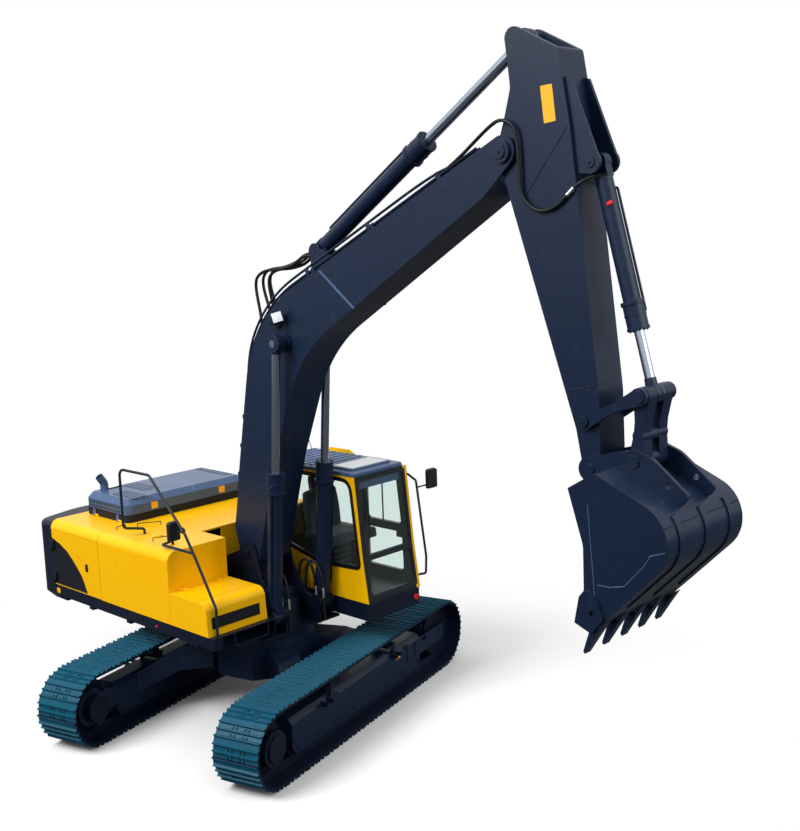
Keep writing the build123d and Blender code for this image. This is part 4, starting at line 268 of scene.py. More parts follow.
def track_coat_and_shade(material, inner):
    """Keep a coat on the outer faces of the shoe loop, and a dark painted shade on the faces that do not
    look outwards.
    """
    tree = material.node_tree
    rear, front, least = -1.98, 2.04, 0.10
    place = add(tree, "ShaderNodeTexCoord")
    run = tuple(TRACK.to_3x3() @ Vector((1, 0, 0)))
    spot = add(tree, "ShaderNodeSeparateXYZ", {"Vector": place.outputs["Object"]})
    tilt = add(tree, "ShaderNodeSeparateXYZ", {"Vector": place.outputs["Normal"]})
    along = add(tree, "ShaderNodeVectorMath", {0: place.outputs["Object"], 1: run}, operation="DOT_PRODUCT")
    lean = add(tree, "ShaderNodeVectorMath", {0: place.outputs["Normal"], 1: run}, operation="DOT_PRODUCT")
    centre = add(tree, "ShaderNodeClamp", {"Value": along, "Min": rear, "Max": front})
    test = sums(tree)
    reach = test("MULTIPLY", test("SUBTRACT", along, centre), lean)
    rise = test("MULTIPLY", test("SUBTRACT", spot.outputs["Z"], AXLE_HEIGHT), tilt.outputs["Z"])
    # The mask is 1 on faces that do not look out of the loop, where the dark colour is painted shade
    return over_paint(material, tree, test("LESS_THAN", test("ADD", reach, rise), least), inner)


def metal(name, code, roughness, grit):
    """Bare metal, ground or cast: full metallic with a grain that spreads its highlights."""
    material, tree = new_material(name)
    place = add(tree, "ShaderNodeTexCoord").outputs["Object"]
    grain = add(tree, "ShaderNodeTexNoise", {"Vector": place, "Scale": 1 / grit, "Detail": 4.0})
    polish = add(
        tree, "ShaderNodeMapRange", {"Value": grain, "To Min": roughness * 0.8, "To Max": roughness * 1.25},
    )
    shader = add(
        tree, "ShaderNodeBsdfPrincipled", {"Base Color": linear(code), "Metallic": 1.0, "Roughness": polish},
    )
    add(tree, "ShaderNodeOutputMaterial", {"Surface": shader})
    return material


def moulded(name, code, roughness, grit, bump=0.25, shade=None):
    """Moulded plastic, rubber, print or woven cover: even colour with a fine grain in its surface."""
    material, tree = new_material(name)
    place = add(tree, "ShaderNodeTexCoord").outputs["Object"]
    grain = add(tree, "ShaderNodeTexNoise", {"Vector": place, "Scale": 1 / grit, "Detail": 2.0})
    tone = add(
        tree, "ShaderNodeMix",
        {"Factor": grain, "A": linear(code), "B": linear(shade or code)}, data_type="RGBA",
    )
    relief = add(tree, "ShaderNodeBump", {"Height": grain, "Strength": bump, "Distance": 0.3 * MM})
    shader = add(
        tree, "ShaderNodeBsdfPrincipled",
        {"Base Color": tone, "Roughness": roughness, "Specular IOR Level": 0.3, "Normal": relief},
    )
    add(tree, "ShaderNodeOutputMaterial", {"Surface": shader})
    return material


def woven(name, code, shade, thread):
    """Woven seat cover: two sets of threads crossing, drawn four times as coarse as cloth to show."""
    material, tree = new_material(name)
    place = add(tree, "ShaderNodeTexCoord").outputs["Object"]
    height = None
    for axis in ("X", "Z"):
        rows = add(
            tree, "ShaderNodeTexWave", {"Vector": place, "Scale": 1 / (4 * thread)}, bands_direction=axis,
        )
        height = rows if height is None else add(
            tree, "ShaderNodeMath", {0: height.outputs["Fac"], 1: rows.outputs["Fac"]}, operation="MAXIMUM"
        )
    tone = add(
        tree, "ShaderNodeMix", {"Factor": height, "A": linear(shade), "B": linear(code)}, data_type="RGBA",
    )
    relief = add(tree, "ShaderNodeBump", {"Height": height, "Strength": 0.5, "Distance": 1 * MM})
    shader = add(
        tree, "ShaderNodeBsdfPrincipled",
        {"Base Color": tone, "Roughness": 0.85, "Sheen Weight": 0.3, "Normal": relief},
    )
    add(tree, "ShaderNodeOutputMaterial", {"Surface": shader})
    return material


def tinted_glass(name, code, clear):
    """Toughened float glass, faintly green: a thin pane that lets most light through and mirrors the sky."""
    material, tree = new_material(name)
    place = add(tree, "ShaderNodeTexCoord").outputs["Object"]
    film = add(tree, "ShaderNodeTexNoise", {"Vector": place, "Scale": 3.0, "Detail": 4.0})
    smear = add(tree, "ShaderNodeMapRange", {"Value": film, "To Min": 0.02, "To Max": 0.08})
    facing = add(tree, "ShaderNodeLayerWeight", {"Blend": 0.5})
    mirror = add(
        tree, "ShaderNodeMapRange",
        {"Value": facing.outputs["Facing"], "From Min": 0.35, "To Min": 0.035, "To Max": 0.55},
    )
    gloss = add(tree, "ShaderNodeBsdfGlossy", {"Color": (1, 1, 1, 1), "Roughness": smear})
    through = add(tree, "ShaderNodeBsdfTransparent", {"Color": linear(code)})
    body = add(tree, "ShaderNodeBsdfDiffuse", {"Color": linear(code)})
    pane = add(tree, "ShaderNodeMixShader", {0: clear, 1: body, 2: through})
    mix = add(tree, "ShaderNodeMixShader", {0: mirror, 1: pane, 2: gloss})
    add(tree, "ShaderNodeOutputMaterial", {"Surface": mix})
    return material


def tree_of(name, sockets):
    """Geometry Nodes tree with its named inputs, and its input node."""
    tree = bpy.data.node_groups.new(name, "GeometryNodeTree")
    for label, kind in sockets:
        tree.interface.new_socket(label, in_out="INPUT", socket_type="NodeSocket" + kind)
    tree.interface.new_socket("Geometry", in_out="OUTPUT", socket_type="NodeSocketGeometry")
    return tree, tree.nodes.new("NodeGroupInput").outputs


def close_tree(tree, geometry, material):
    """Real instances with their material, at the tree's end."""
    real = add(tree, "GeometryNodeRealizeInstances", {"Geometry": geometry})
    dressed = add(tree, "GeometryNodeSetMaterial", {"Geometry": real, "Material": material})
    add(tree, "NodeGroupOutput", {"Geometry": dressed})


def stud_tree():
    """Headed fasteners on points: a washer and a head, standing along each point's facing."""
    tree, given = tree_of(
        "studs",
        (
            ("Geometry", "Geometry"), ("Radius", "Float"), ("Height", "Float"), ("Sides", "Int"),
            ("Washer", "Float"), ("Material", "Material"),
        ),
    )
    head = add(
        tree, "GeometryNodeMeshCylinder",
        {"Vertices": given["Sides"], "Radius": given["Radius"], "Depth": given["Height"]},
    )
    lift = add(tree, "ShaderNodeMath", {0: given["Height"], 1: 0.5}, operation="MULTIPLY")
    up = add(tree, "ShaderNodeCombineXYZ", {"Z": lift})
    raised = add(tree, "GeometryNodeTransform", {"Geometry": head, "Translation": up})
    thin = add(tree, "ShaderNodeMath", {0: given["Height"], 1: 0.4}, operation="MULTIPLY")
    washer = add(
        tree, "GeometryNodeMeshCylinder", {"Vertices": 12, "Radius": given["Washer"], "Depth": thin},
    )
    both = add(tree, "GeometryNodeJoinGeometry")
    for part in (raised, washer):
        tree.links.new(part.outputs[0], both.inputs["Geometry"])
    facing = add(tree, "GeometryNodeInputNamedAttribute", {"Name": "facing"}, data_type="FLOAT_VECTOR")
    turn = add(tree, "FunctionNodeAlignRotationToVector", {"Vector": facing}, axis="Z")
    placed = add(
        tree, "GeometryNodeInstanceOnPoints",
        {"Points": given["Geometry"], "Instance": both, "Rotation": turn},
    )
    close_tree(tree, placed, given["Material"])
    return tree


def bead_tree():
    """Weld bead along edges: overlapping ripples, as the arc leaves them."""
    tree, given = tree_of("weld_bead", (
        ("Geometry", "Geometry"), ("Pitch", "Float"), ("Radius", "Float"), ("Material", "Material"),
    ))
    line = add(tree, "GeometryNodeMeshToCurve", {"Mesh": given["Geometry"]})
    steps = add(tree, "GeometryNodeCurveToPoints", {"Curve": line, "Length": given["Pitch"]}, mode="LENGTH")
    ripple = add(tree, "GeometryNodeMeshUVSphere", {"Segments": 6, "Rings": 4, "Radius": given["Radius"]})
    placed = add(
        tree, "GeometryNodeInstanceOnPoints",
        {"Points": steps, "Instance": ripple, "Rotation": steps.outputs["Rotation"]},
    )
    close_tree(tree, placed, given["Material"])
    return tree


def cell_tree():
    """Repeats of one cell, such as a holed square of a grille, on points."""
    tree, given = tree_of("cells", (("Geometry", "Geometry"), ("Cell", "Object"), ("Material", "Material")))
    cell = add(tree, "GeometryNodeObjectInfo", {"Object": given["Cell"]})
    placed = add(
        tree, "GeometryNodeInstanceOnPoints",
        {"Points": given["Geometry"], "Instance": cell.outputs["Geometry"]},
    )
    close_tree(tree, placed, given["Material"])
    return tree


def link(obj):
    """Put an object into the scene."""
    bpy.context.scene.collection.objects.link(obj)
    return obj


def grown(name, tree, points, edges, values, body, finish, place=None, facing=None):
    """Plain mesh of a Geometry Nodes tree on points, in one body."""
    mesh = bpy.data.meshes.new(name)
    mesh.from_pydata(points, edges, [])
    if facing is not None:
        data = mesh.attributes.new("facing", "FLOAT_VECTOR", "POINT")
        for i, vector in enumerate(facing):
            data.data[i].vector = vector
    carrier = link(bpy.data.objects.new(name + "_points", mesh))
    modifier = carrier.modifiers.new("grow", "NODES")
    modifier.node_group = tree
    for item in tree.interface.items_tree:
        if item.in_out == "INPUT" and item.name in values:
            modifier[item.identifier] = values[item.name]
        elif item.in_out == "INPUT" and item.name == "Material":
            modifier[item.identifier] = FINISH[finish]
    seen = carrier.evaluated_get(bpy.context.evaluated_depsgraph_get())
    result = bpy.data.meshes.new_from_object(seen)
    bpy.data.objects.remove(carrier)
    if place is not None:
        result.transform(place)
    result.materials.clear()
    result.materials.append(FINISH[finish])
    result.name = name
    grown_piece = link(bpy.data.objects.new(name, result))
    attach(grown_piece, body)
    return grown_piece


def studs(name, spots, body, finish, radius, height, sides=6, washer=None):
    """Fasteners at spots, each a point and the direction that it faces."""
    return grown(
        name, bpy.data.node_groups["studs"], [spot for spot, _ in spots], [],
        {"Radius": radius, "Height": height, "Sides": sides, "Washer": washer or radius * 1.5},
        body, finish, facing=[face for _, face in spots],
    )


def beads(name, lines, body, finish="navy"):
    """Weld beads along lines of points."""
    points, edges = [], []
    for line in lines:
        start = len(points)
        points.extend(tuple(spot) for spot in line)
        edges.extend((start + i, start + i + 1) for i in range(len(line) - 1))
    radius = bpy.context.scene.excavator_trim.bead
    return grown(
        name, bpy.data.node_groups["weld_bead"], points, edges, {"Pitch": radius * 1.3, "Radius": radius},
        body, finish,
    )


def finished(name, bm, finish, body, smooth=32.0):
    """Object of a bmesh: faces outwards, smooth between soft edges, on its body."""
    bmesh.ops.recalc_face_normals(bm, faces=bm.faces[:])
    mesh = bpy.data.meshes.new(name)
    bm.to_mesh(mesh)
    bm.free()
    mesh.polygons.foreach_set("use_smooth", [True] * len(mesh.polygons))
    mesh.set_sharp_from_angle(angle=math.radians(smooth))
    mesh.materials.append(FINISH[finish])
    made = link(bpy.data.objects.new(name, mesh))
    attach(made, body)
    return made


AXES = {"X": (2, 0, 1), "Y": (0, 2, 1), "Z": (0, 1, 2)}


def lay(axis, u, v, w, place):
    """Point from a flat outline: u and v in the outline, w across it along the named axis."""
    flat = (u, v, w)
    spot = Vector(flat[i] for i in AXES[axis])
    return place @ spot if place is not None else spot


def soft_outline(corners, steps=6):
    """Outline with its corners rounded; a corner is forward, up and radius."""
    points = []
    count = len(corners)
    for i, (x, y, radius) in enumerate(corners):
        here = Vector((x, y))
        back = Vector(corners[i - 1][:2]) - here
        ahead = Vector(corners[(i + 1) % count][:2]) - here
        if radius <= 0:
            points.append(here)
            continue
        half = back.angle(ahead) / 2
        reach = min(radius / math.tan(half), back.length * 0.49, ahead.length * 0.49)
        a, b = here + back.normalized() * reach, here + ahead.normalized() * reach
        for k in range(steps + 1):
            t = k / steps
            points.append(a * (1 - t) ** 2 + here * (2 * t * (1 - t)) + b * t * t)
    return points


def grow_outline(points, margin):
    """Outline moved outwards by a margin, point for point."""
    count = len(points)
    area = sum(points[i - 1].x * points[i].y - points[i].x * points[i - 1].y for i in range(count))
    hand = 1 if area > 0 else -1
    moved = []
    for i in range(count):
        along = (points[(i + 1) % count] - points[i - 1]).normalized()
        moved.append(points[i] + Vector((along.y, -along.x)) * (hand * margin))
    return moved


def prism(bm, points, low, high, axis="Y", place=None):
    """Solid slab of an outline between two planes."""
    rings = []
    for w in (low, high):
        rings.append([bm.verts.new(lay(axis, p[0], p[1], w, place)) for p in points])
    count = len(points)
    for i in range(count):
        j = (i + 1) % count
        bm.faces.new((rings[0][i], rings[0][j], rings[1][j], rings[1][i]))
    bm.faces.new(rings[0])
    bm.faces.new(rings[1])


def frame_band(bm, points, inner, outer, low, high, axis="Y", place=None):
    """Closed band round an outline, such as a window rubber."""
    rings = []
    for margin in (inner, outer):
        edge = grow_outline(points, margin)
        for w in (low, high):
            rings.append([bm.verts.new(lay(axis, p.x, p.y, w, place)) for p in edge])
    count = len(points)
    order = (rings[0], rings[1], rings[3], rings[2])
    for i in range(count):
        j = (i + 1) % count
        for a, b in zip(order, order[1:] + order[:1]):
            bm.faces.new((a[i], a[j], b[j], b[i]))


def drum(bm, centre, axis, radius, depth, sides=24, top=None):
    """Turned form: from a centre along a direction, with its far end's own radius."""
    direction = Vector(axis).normalized()
    turn = direction.to_track_quat("Z", "Y").to_matrix().to_4x4()
    middle = Vector(centre) + direction * (depth / 2)
    bmesh.ops.create_cone(
        bm, cap_ends=True, segments=sides, radius1=radius, radius2=radius if top is None else top,
        depth=depth, matrix=Matrix.Translation(middle) @ turn,
    )


def collar(bm, centre, axis, inner, outer, depth, sides=32):
    """Ring round a rod or barrel, its walls closed."""
    direction = Vector(axis).normalized()
    turn = Matrix.Translation(Vector(centre)) @ direction.to_track_quat("Z", "Y").to_matrix().to_4x4()
    rings = []
    for radius, height in ((inner, 0), (inner, depth), (outer, depth * 0.92), (outer, depth * 0.08)):
        ring = []
        for i in range(sides):
            a = 2 * math.pi * i / sides
            ring.append(bm.verts.new(turn @ Vector((radius * math.cos(a), radius * math.sin(a), height))))
        rings.append(ring)
    for a, b in zip(rings, rings[1:] + rings[:1]):
        for i in range(sides):
            j = (i + 1) % sides
            bm.faces.new((a[i], a[j], b[j], b[i]))


def block(bm, low, high, place=None, soften=0.0):
    """Box between two corners with softened edges."""
    middle = (Vector(low) + Vector(high)) / 2
    size = Vector(high) - Vector(low)
    matrix = Matrix.Translation(middle) @ Matrix.Diagonal((*size, 1))
    made = bmesh.ops.create_cube(bm, size=1, matrix=matrix)
    if soften:
        edges = list({edge for vert in made["verts"] for edge in vert.link_edges})
        made = bmesh.ops.bevel(bm, geom=edges, offset=soften, segments=2, affect="EDGES", profile=0.5)
    if place is not None:
        bmesh.ops.transform(bm, matrix=place, verts=made["verts"])


def hose(name, points, radius, body, finish="rubber", steps=10):
    """Tube along a smooth line through its route, with closed ends."""
    curve = bpy.data.curves.new(name, "CURVE")
    curve.dimensions = "3D"
    curve.bevel_depth = radius
    curve.bevel_resolution = 3
    curve.use_fill_caps = True
    curve.resolution_u = steps
    spline = curve.splines.new("NURBS")
    spline.points.add(len(points) - 1)
    for i, spot in enumerate(points):
        spline.points[i].co = (*spot, 1.0)
    spline.order_u = 3
    spline.use_endpoint_u = True
    line = link(bpy.data.objects.new(name + "_line", curve))
    seen = line.evaluated_get(bpy.context.evaluated_depsgraph_get())
    mesh = bpy.data.meshes.new_from_object(seen)
    bpy.data.objects.remove(line)
    mesh.name = name
    mesh.materials.clear()
    mesh.materials.append(FINISH[finish])
    mesh.polygons.foreach_set("use_smooth", [True] * len(mesh.polygons))
    mesh.set_sharp_from_angle(angle=math.radians(50))
    made = link(bpy.data.objects.new(name, mesh))
    if isinstance(body, str):
        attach(made, body)
    return made


def boxed(name, low, high, finish, body, soften=0.0, place=None):
    """Piece of one box between two corners."""
    bm = bmesh.new()
    block(bm, low, high, place, soften)
    return finished(name, bm, finish, body)


def slab(name, corners, low, high, finish, body, axis="Y", place=None, steps=6):
    """Piece of one slab: an outline with rounded corners between two planes."""
    bm = bmesh.new()
    prism(bm, soft_outline(corners, steps), low, high, axis, place)
    return finished(name, bm, finish, body)


def rectangle(low, high, radius):
    """Corner table of a rectangle between two corners."""
    (x, y), (u, v) = low, high
    return [(x, y, radius), (u, y, radius), (u, v, radius), (x, v, radius)]


def camera_share(tree, mirrored):
    """Two levels that are 1 for the camera and through panes; the second has a share in mirrors too."""
    path = add(tree, "ShaderNodeLightPath").outputs
    seen = sums(tree)("MAXIMUM", path["Is Camera Ray"], path["Is Transmission Ray"])
    both = {0: path["Is Glossy Ray"], 1: mirrored, 2: seen}
    return seen, add(tree, "ShaderNodeMath", both, operation="MULTIPLY_ADD")


def aimed(spot, direction):
    """Matrix at a spot with its Z along a direction."""
    return Matrix.Translation(spot) @ Vector(direction).to_track_quat("Z", "Y").to_matrix().to_4x4()


def joined(name, parts):
    """One object of several that ride on one body."""
    first = parts[0]
    bm = bmesh.new()
    for part in parts:
        bm.from_mesh(part.data)
    bm.to_mesh(first.data)
    bm.free()
    for part in parts[1:]:
        bpy.data.objects.remove(part)
    first.name = name
    return first


class EXCAVATOR_OT_finishes(bpy.types.Operator):
    """Make the finishes and give each CAD node its own"""

    bl_idname = "excavator.finishes"
    bl_label = "Finishes"

    def execute(self, context):
        sizes = context.scene.excavator_finish
        peel, edge = sizes.peel, sizes.edge
        FINISH["yellow"] = enamel(
            "gloss_enamel_yellow", sizes.yellow, 0.32, 0.06, sizes.amber, peel, 0.10, edge, "E89B00"
        )
        FINISH["cab"] = cab_enamel(enamel(
            "gloss_enamel_cab", sizes.yellow, 0.32, 0.06, sizes.amber, peel, 0.10, edge, "E89B00"
        ), "1B2429")
        FINISH["navy"] = enamel(
            "satin_enamel_navy", sizes.navy, 0.34, 0.05, "111F36", peel, 0.12, edge, "24395A",
        )
        FINISH["charcoal"] = enamel(
            "satin_enamel_charcoal", sizes.charcoal, 0.42, 0.03, "0C1222", peel, 0.2, edge, "1E2A44"
        )
        FINISH["rail"] = enamel(
            "powder_coat_rail", "1C2732", 0.35, 0.1, "18212B", peel, 0.15, edge, "33414D",
        )
        FINISH["slate"] = enamel(
            "satin_enamel_slate", sizes.slate, 0.30, 0.1, "43597D", peel, 0.10, edge, "6883AC",
        )
        # 0B152A is painted shade on the faces of the shoe loop that do not look outwards
        FINISH["shoe"] = track_coat_and_shade(
            enamel("coated_steel_shoes", sizes.shoe, 0.46, 0.0, "04465C", peel, 0.4, edge, "0A6A90"),
            "0B152A",
        )
        FINISH["chrome"] = metal("hard_chrome", "AEB9CC", 0.20, 4 * MM)
        FINISH["steel"] = metal("zinc_plated_steel", "C3C6C8", 0.32, 3 * MM)
        FINISH["cast"] = metal("cast_iron", "5A5B5E", 0.55, 3 * MM)
        FINISH["plastic"] = moulded("grained_black_plastic", "15181D", 0.45, 2 * MM, shade="1D2127")
        FINISH["rubber"] = moulded("hose_rubber", "07090D", 0.5, 3 * MM, shade="0D1015")
        FINISH["fabric"] = woven("woven_seat_cover", "2F3A46", "1C232C", 2 * MM)
        FINISH["glass"] = tinted_glass("float_glass", "F7FCFB", 0.985)
        FINISH["lens"] = moulded("frosted_lens", "F4F8FC", 0.12, 6 * MM, shade="E4EAF0")
        FINISH["sticker"] = moulded("printed_yellow_film", "FFC42E", 0.35, 8 * MM, 0.05, "F7B41E")
        FINISH["graphic"] = moulded("printed_dark_film", "050A12", 0.60, 8 * MM, 0.05, "080E17")
        FINISH["red"] = moulded("red_reflector", "F3281E", 0.2, 6 * MM, 0.1, "D81A14")
        FINISH["amber"] = moulded("amber_reflector", "FFC60A", 0.2, 6 * MM, 0.1, "FFB000")
        for name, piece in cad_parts.items():
            kind = NODE_FINISH.get(name, "chrome" if name.endswith("_rod") else "navy")
            piece.data.materials.clear()
            piece.data.materials.append(FINISH[kind])
        for maker in (stud_tree, bead_tree, cell_tree):
            maker()
        return {"FINISHED"}


class EXCAVATOR_OT_stage(bpy.types.Operator):
    """Put up the pale floor, the soft lights and the camera of the catalogue picture"""

    bl_idname = "excavator.stage"
    bl_label = "Studio"

    def execute(self, context):
        sizes = context.scene.excavator_stage
        camera = bpy.data.objects.new("catalogue_camera", bpy.data.cameras.new("catalogue_camera"))
        context.collection.objects.link(camera)
        camera.data.lens = sizes.focal
        camera.data.shift_x, camera.data.shift_y = sizes.shift
        camera.data.clip_end = 200.0
        azimuth, elevation, roll = (math.radians(v) for v in (sizes.azimuth, sizes.elevation, sizes.roll))
        back = Vector(
            (
                math.sin(azimuth) * math.cos(elevation), -math.cos(azimuth) * math.cos(elevation),
                math.sin(elevation),
            )
        )
        right = (-back).cross(Vector((0, 0, 1))).normalized()
        up = back.cross(right)
        rolled_right = math.cos(roll) * right + math.sin(roll) * up
        rolled_up = -math.sin(roll) * right + math.cos(roll) * up
        turn = Matrix((rolled_right, rolled_up, back)).transposed()
        camera.matrix_world = Matrix.Translation(Vector(sizes.camera)) @ turn.to_4x4()
        context.scene.camera = camera
        context.scene.view_settings.view_transform = "Standard"

        world = bpy.data.worlds.new("studio")
        world.use_nodes = True
        tree = world.node_tree
        tree.nodes.clear()
        place = add(tree, "ShaderNodeTexCoord")
        height = add(tree, "ShaderNodeSeparateXYZ", {"Vector": place.outputs["Generated"]})
        sky = add(tree, "ShaderNodeMapRange", {
            "Value": height.outputs["Z"], "From Min": -0.2, "From Max": 0.9, "To Min": 0.10, "To Max": 0.85,
        })
        _, bright = camera_share(tree, 0.9)
        level = add(tree, "ShaderNodeMath", {0: sky, 1: bright}, operation="MAXIMUM")
        light = add(tree, "ShaderNodeBackground", {"Color": (1, 1, 1, 1), "Strength": level})
        add(tree, "ShaderNodeOutputWorld", {"Surface": light})
        context.scene.world = world

        for name, spot, aim, width, power in (
            ("key", (-2.0, -14.0, 15.0), (0.5, 0, 2.5), 9.0, 3300.0),
            ("fill", (16.0, 2.0, 9.0), (1, 0, 3), 10.0, 950.0),
        ):
            lamp = bpy.data.objects.new(name, bpy.data.lights.new(name, "AREA"))
            lamp.data.size = width
            lamp.data.energy = power
            lamp.matrix_world = aimed(Vector(spot), Vector(spot) - Vector(aim))
            context.collection.objects.link(lamp)

        mesh = bpy.data.meshes.new("studio_floor")
        reach = 60.0
        corners = [(-reach, -reach, 0), (reach, -reach, 0), (reach, reach, 0), (-reach, reach, 0)]
        mesh.from_pydata(corners, [], [(0, 1, 2, 3)])
        floor = bpy.data.objects.new("studio_floor", mesh)
        context.collection.objects.link(floor)
        material, tree = new_material("white_sweep")
        place = add(tree, "ShaderNodeTexCoord")
        away = add(tree, "ShaderNodeVectorMath", {0: place.outputs["Object"]}, operation="LENGTH")
        blend = add(
            tree, "ShaderNodeMapRange", {"Value": away, "From Min": 3.0, "From Max": 6.5},
            interpolation_type="SMOOTHSTEP",
        )
        # Only the camera, mirrors and panes see the bright sweep, so that undersides stay dark
        seen, bright = camera_share(tree, 0.12)
        shades = {"Factor": seen, "A": (0.16, 0.17, 0.20, 1), "B": (0.93, 0.93, 0.93, 1)}
        matt = add(
            tree, "ShaderNodeBsdfDiffuse", {"Color": add(tree, "ShaderNodeMix", shades, data_type="RGBA")},
        )
        glow = add(tree, "ShaderNodeEmission", {"Color": (1, 1, 1, 1), "Strength": bright})
        mix = add(tree, "ShaderNodeMixShader", {0: blend, 1: matt, 2: glow})
        add(tree, "ShaderNodeOutputMaterial", {"Surface": mix})
        mesh.materials.append(material)
        return {"FINISHED"}


class EXCAVATOR_OT_panels(bpy.types.Operator):
    """Graphics, strips, latches and lamps of the bodywork"""

    bl_idname = "excavator.panels"
    bl_label = "Body panels"

    def execute(self, context):
        # Dark film that sweeps down the rear of both side doors
        sweep = [
            (-2.55, 1.44), (-1.752, 1.44), (-1.81, 1.56), (-1.87, 1.66), (-1.95, 1.74), (-2.06, 1.84),
            (-2.18, 1.93), (-2.36, 2.01), (-2.55, 2.065),
        ]
        for hand, door, name in ((-1, "pump_room_door", "right"), (1, "radiator_door", "left")):
            face = hand * UPPER_SIDE
            rail = hand * (UPPER_SIDE - 0.015)
            bm = bmesh.new()
            prism(bm, sweep, face, face + hand * 1.2 * MM)
            finished(f"sweep_film_{name}", bm, "graphic", door)
            bm = bmesh.new()
            latch = soft_outline(rectangle((-1.76, 1.74), (-1.70, 1.84), 0.012))
            prism(bm, latch, face, face + hand * 4 * MM)
            drum(bm, (-1.73, face + hand * 4 * MM, 1.79), (0, hand, 0), 0.014, 0.010, 16)
            finished(f"door_latch_{name}", bm, "plastic", door)
            inner, outer = sorted((rail, rail + hand * 0.012))
            boxed(
                f"amber_marker_{name}", (-2.535, inner, 1.305), (-2.455, outer, 1.372), "amber", "upper",
                0.006,
            )
            # Dark covers over the door's rear hinges
            bm = bmesh.new()
            inner, outer = sorted((face + hand * MM, face + hand * 0.030))
            for height in (1.560, 2.000):
                block(bm, (-2.570, inner, height - 0.080), (-2.478, outer, height + 0.036), soften=0.006)
            finished(f"hinge_covers_{name}", bm, "charcoal", door)
            bm = bmesh.new()
            drum(bm, (-0.262, rail, 1.325), (0, hand, 0), 0.018, 0.010, 16, 0.012)
            finished(f"red_marker_{name}", bm, "red", "upper")
        # Blank dark strip on the toolbox's front, seated on its face
        strip = rectangle((-1.386, 1.506), (-0.679, 1.645), 0.008)
        slab("toolbox_strip", strip, 0.789, 0.793, "graphic", "upper", "X", steps=3)
        # Wire handles on the tank and the bay cover
        low, high = 2.298, 2.345
        parts = []
        for name, a, b in (
            ("handle_bay_rear", (-1.342, -1.204), (-1.347, -1.072)),
            ("handle_bay_middle", (-1.269, -0.941), (-1.115, -0.689)),
            ("handle_tank", (-0.506, -1.236), (-0.389, -0.973)),
        ):
            run = [(*a, low), (*a, high), (*a, high), (*b, high), (*b, high), (*b, low)]
            parts.append(hose(name, run, 0.006, "upper", "rail", 6))
        joined("wire_handles", parts)
        # Blank stickers on the hood's front face
        for name, y in (("rear", -0.50), ("front", 0.62)):
            sticker = rectangle((y - 0.05, 2.425), (y + 0.05, 2.515), 0.006)
            slab(f"hood_sticker_{name}", sticker, -1.5, -1.4985, "sticker", "engine_hood", "X", steps=3)
        # Screws along the foot of both sides
        spots = []
        for hand in (-1, 1):
            for x in (-2.30, -1.95, -1.60, -1.25, -0.90, -0.55, -0.20):
                spots.append(((x, hand * (UPPER_SIDE - 0.015), 1.37), (0, hand, 0)))
        studs("rail_screws", spots, "upper", "charcoal", 0.010, 0.008)
        return {"FINISHED"}


class EXCAVATOR_OT_hood(bpy.types.Operator):
    """Skirt, grilles and slots of the engine hood"""

    bl_idname = "excavator.hood"
    bl_label = "Engine hood"

    def execute(self, context):
        # Dark skirt: a band round the hood's foot, proud of it
        bm = bmesh.new()
        foot = soft_outline(rectangle((-2.5, -0.93), (-1.5, 1.05), 0.110), 8)
        frame_band(bm, foot, 0.0, 0.002, 2.303, 2.404, axis="Z")
        finished("hood_skirt", bm, "graphic", "engine_hood")

        # One cell of perforated sheet: a long hole in a rectangle, with the hole's wall
        def cell(name, width, depth, hole_x, hole_y, thick, slant=0.0):
            shape = bmesh.new()
            count = 12
            rims = []
            for height in (thick, 0.0):
                rim = []
                for i in range(count):
                    a = 2 * math.pi * (i + 0.5) / count
                    x, y = hole_x * math.cos(a), hole_y * math.sin(a)
                    rim.append(shape.verts.new((x + slant * y, y, height)))
                rims.append(rim)
            edge = []
            for i in range(count):
                a = 2 * math.pi * (i + 0.5) / count
                scale = 0.5 / max(abs(math.cos(a)), abs(math.sin(a)))
                x, y = width * scale * math.cos(a), depth * scale * math.sin(a)
                edge.append(shape.verts.new((x, y, thick)))
            for i in range(count):
                j = (i + 1) % count
                shape.faces.new((edge[i], edge[j], rims[0][j], rims[0][i]))
                shape.faces.new((rims[0][i], rims[0][j], rims[1][j], rims[1][i]))
            mesh = bpy.data.meshes.new(name)
            shape.to_mesh(mesh)
            shape.free()
            return link(bpy.data.objects.new(name, mesh))

        def grille(name, columns, rows, width, depth, hole, place, slant=0.0):
            """Perforated sheet of cells over a dark sheet, painted shade of the hollow behind the holes."""
            unit = cell(name + "_cell", width, depth, hole[0], hole[1], 3 * MM, slant)
            points = []
            for row in range(rows):
                for column in range(columns):
                    shift = width / 2 if row % 2 and not slant else 0
                    x, y = (column - (columns - 1) / 2) * width + shift, (row - (rows - 1) / 2) * depth
                    points.append((x, y, 0))
            grown(
                name, bpy.data.node_groups["cells"], points, [], {"Cell": unit}, "engine_hood", "slate",
                place,
            )
            bpy.data.objects.remove(unit)
            # Dark sheet under the holes: painted shade of the hollow behind the grille
            bm = bmesh.new()
            half_x, half_y = columns * width / 2 - 2 * MM, rows * depth / 2 - 2 * MM
            back = [(-half_x, -half_y), (half_x, -half_y), (half_x, half_y), (-half_x, half_y)]
            prism(bm, back, 0.0, MM, axis="Z", place=place)
            finished(name + "_backing", bm, "rubber", "engine_hood")

        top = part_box("engine_hood")[1][2]
        for name, columns, rows, x, y in (
            ("grille_right", 7, 4, -1.80, -0.68),
            ("grille_middle", 7, 4, -2.10, -0.30),
            ("grille_left", 10, 2, -2.06, 0.90),
        ):
            grille(name, columns, rows, 0.070, 0.062, (0.027, 0.022), Matrix.Translation((x, y, top)))
        # Slanted slots in two rows on the hood's right face
        face = Matrix.Translation((-2.0, -0.930, 2.462)) @ Matrix.Rotation(math.radians(90), 4, "X")
        grille("slots_right", 16, 2, 0.050, 0.054, (0.015, 0.022), face, slant=0.45)
        return {"FINISHED"}


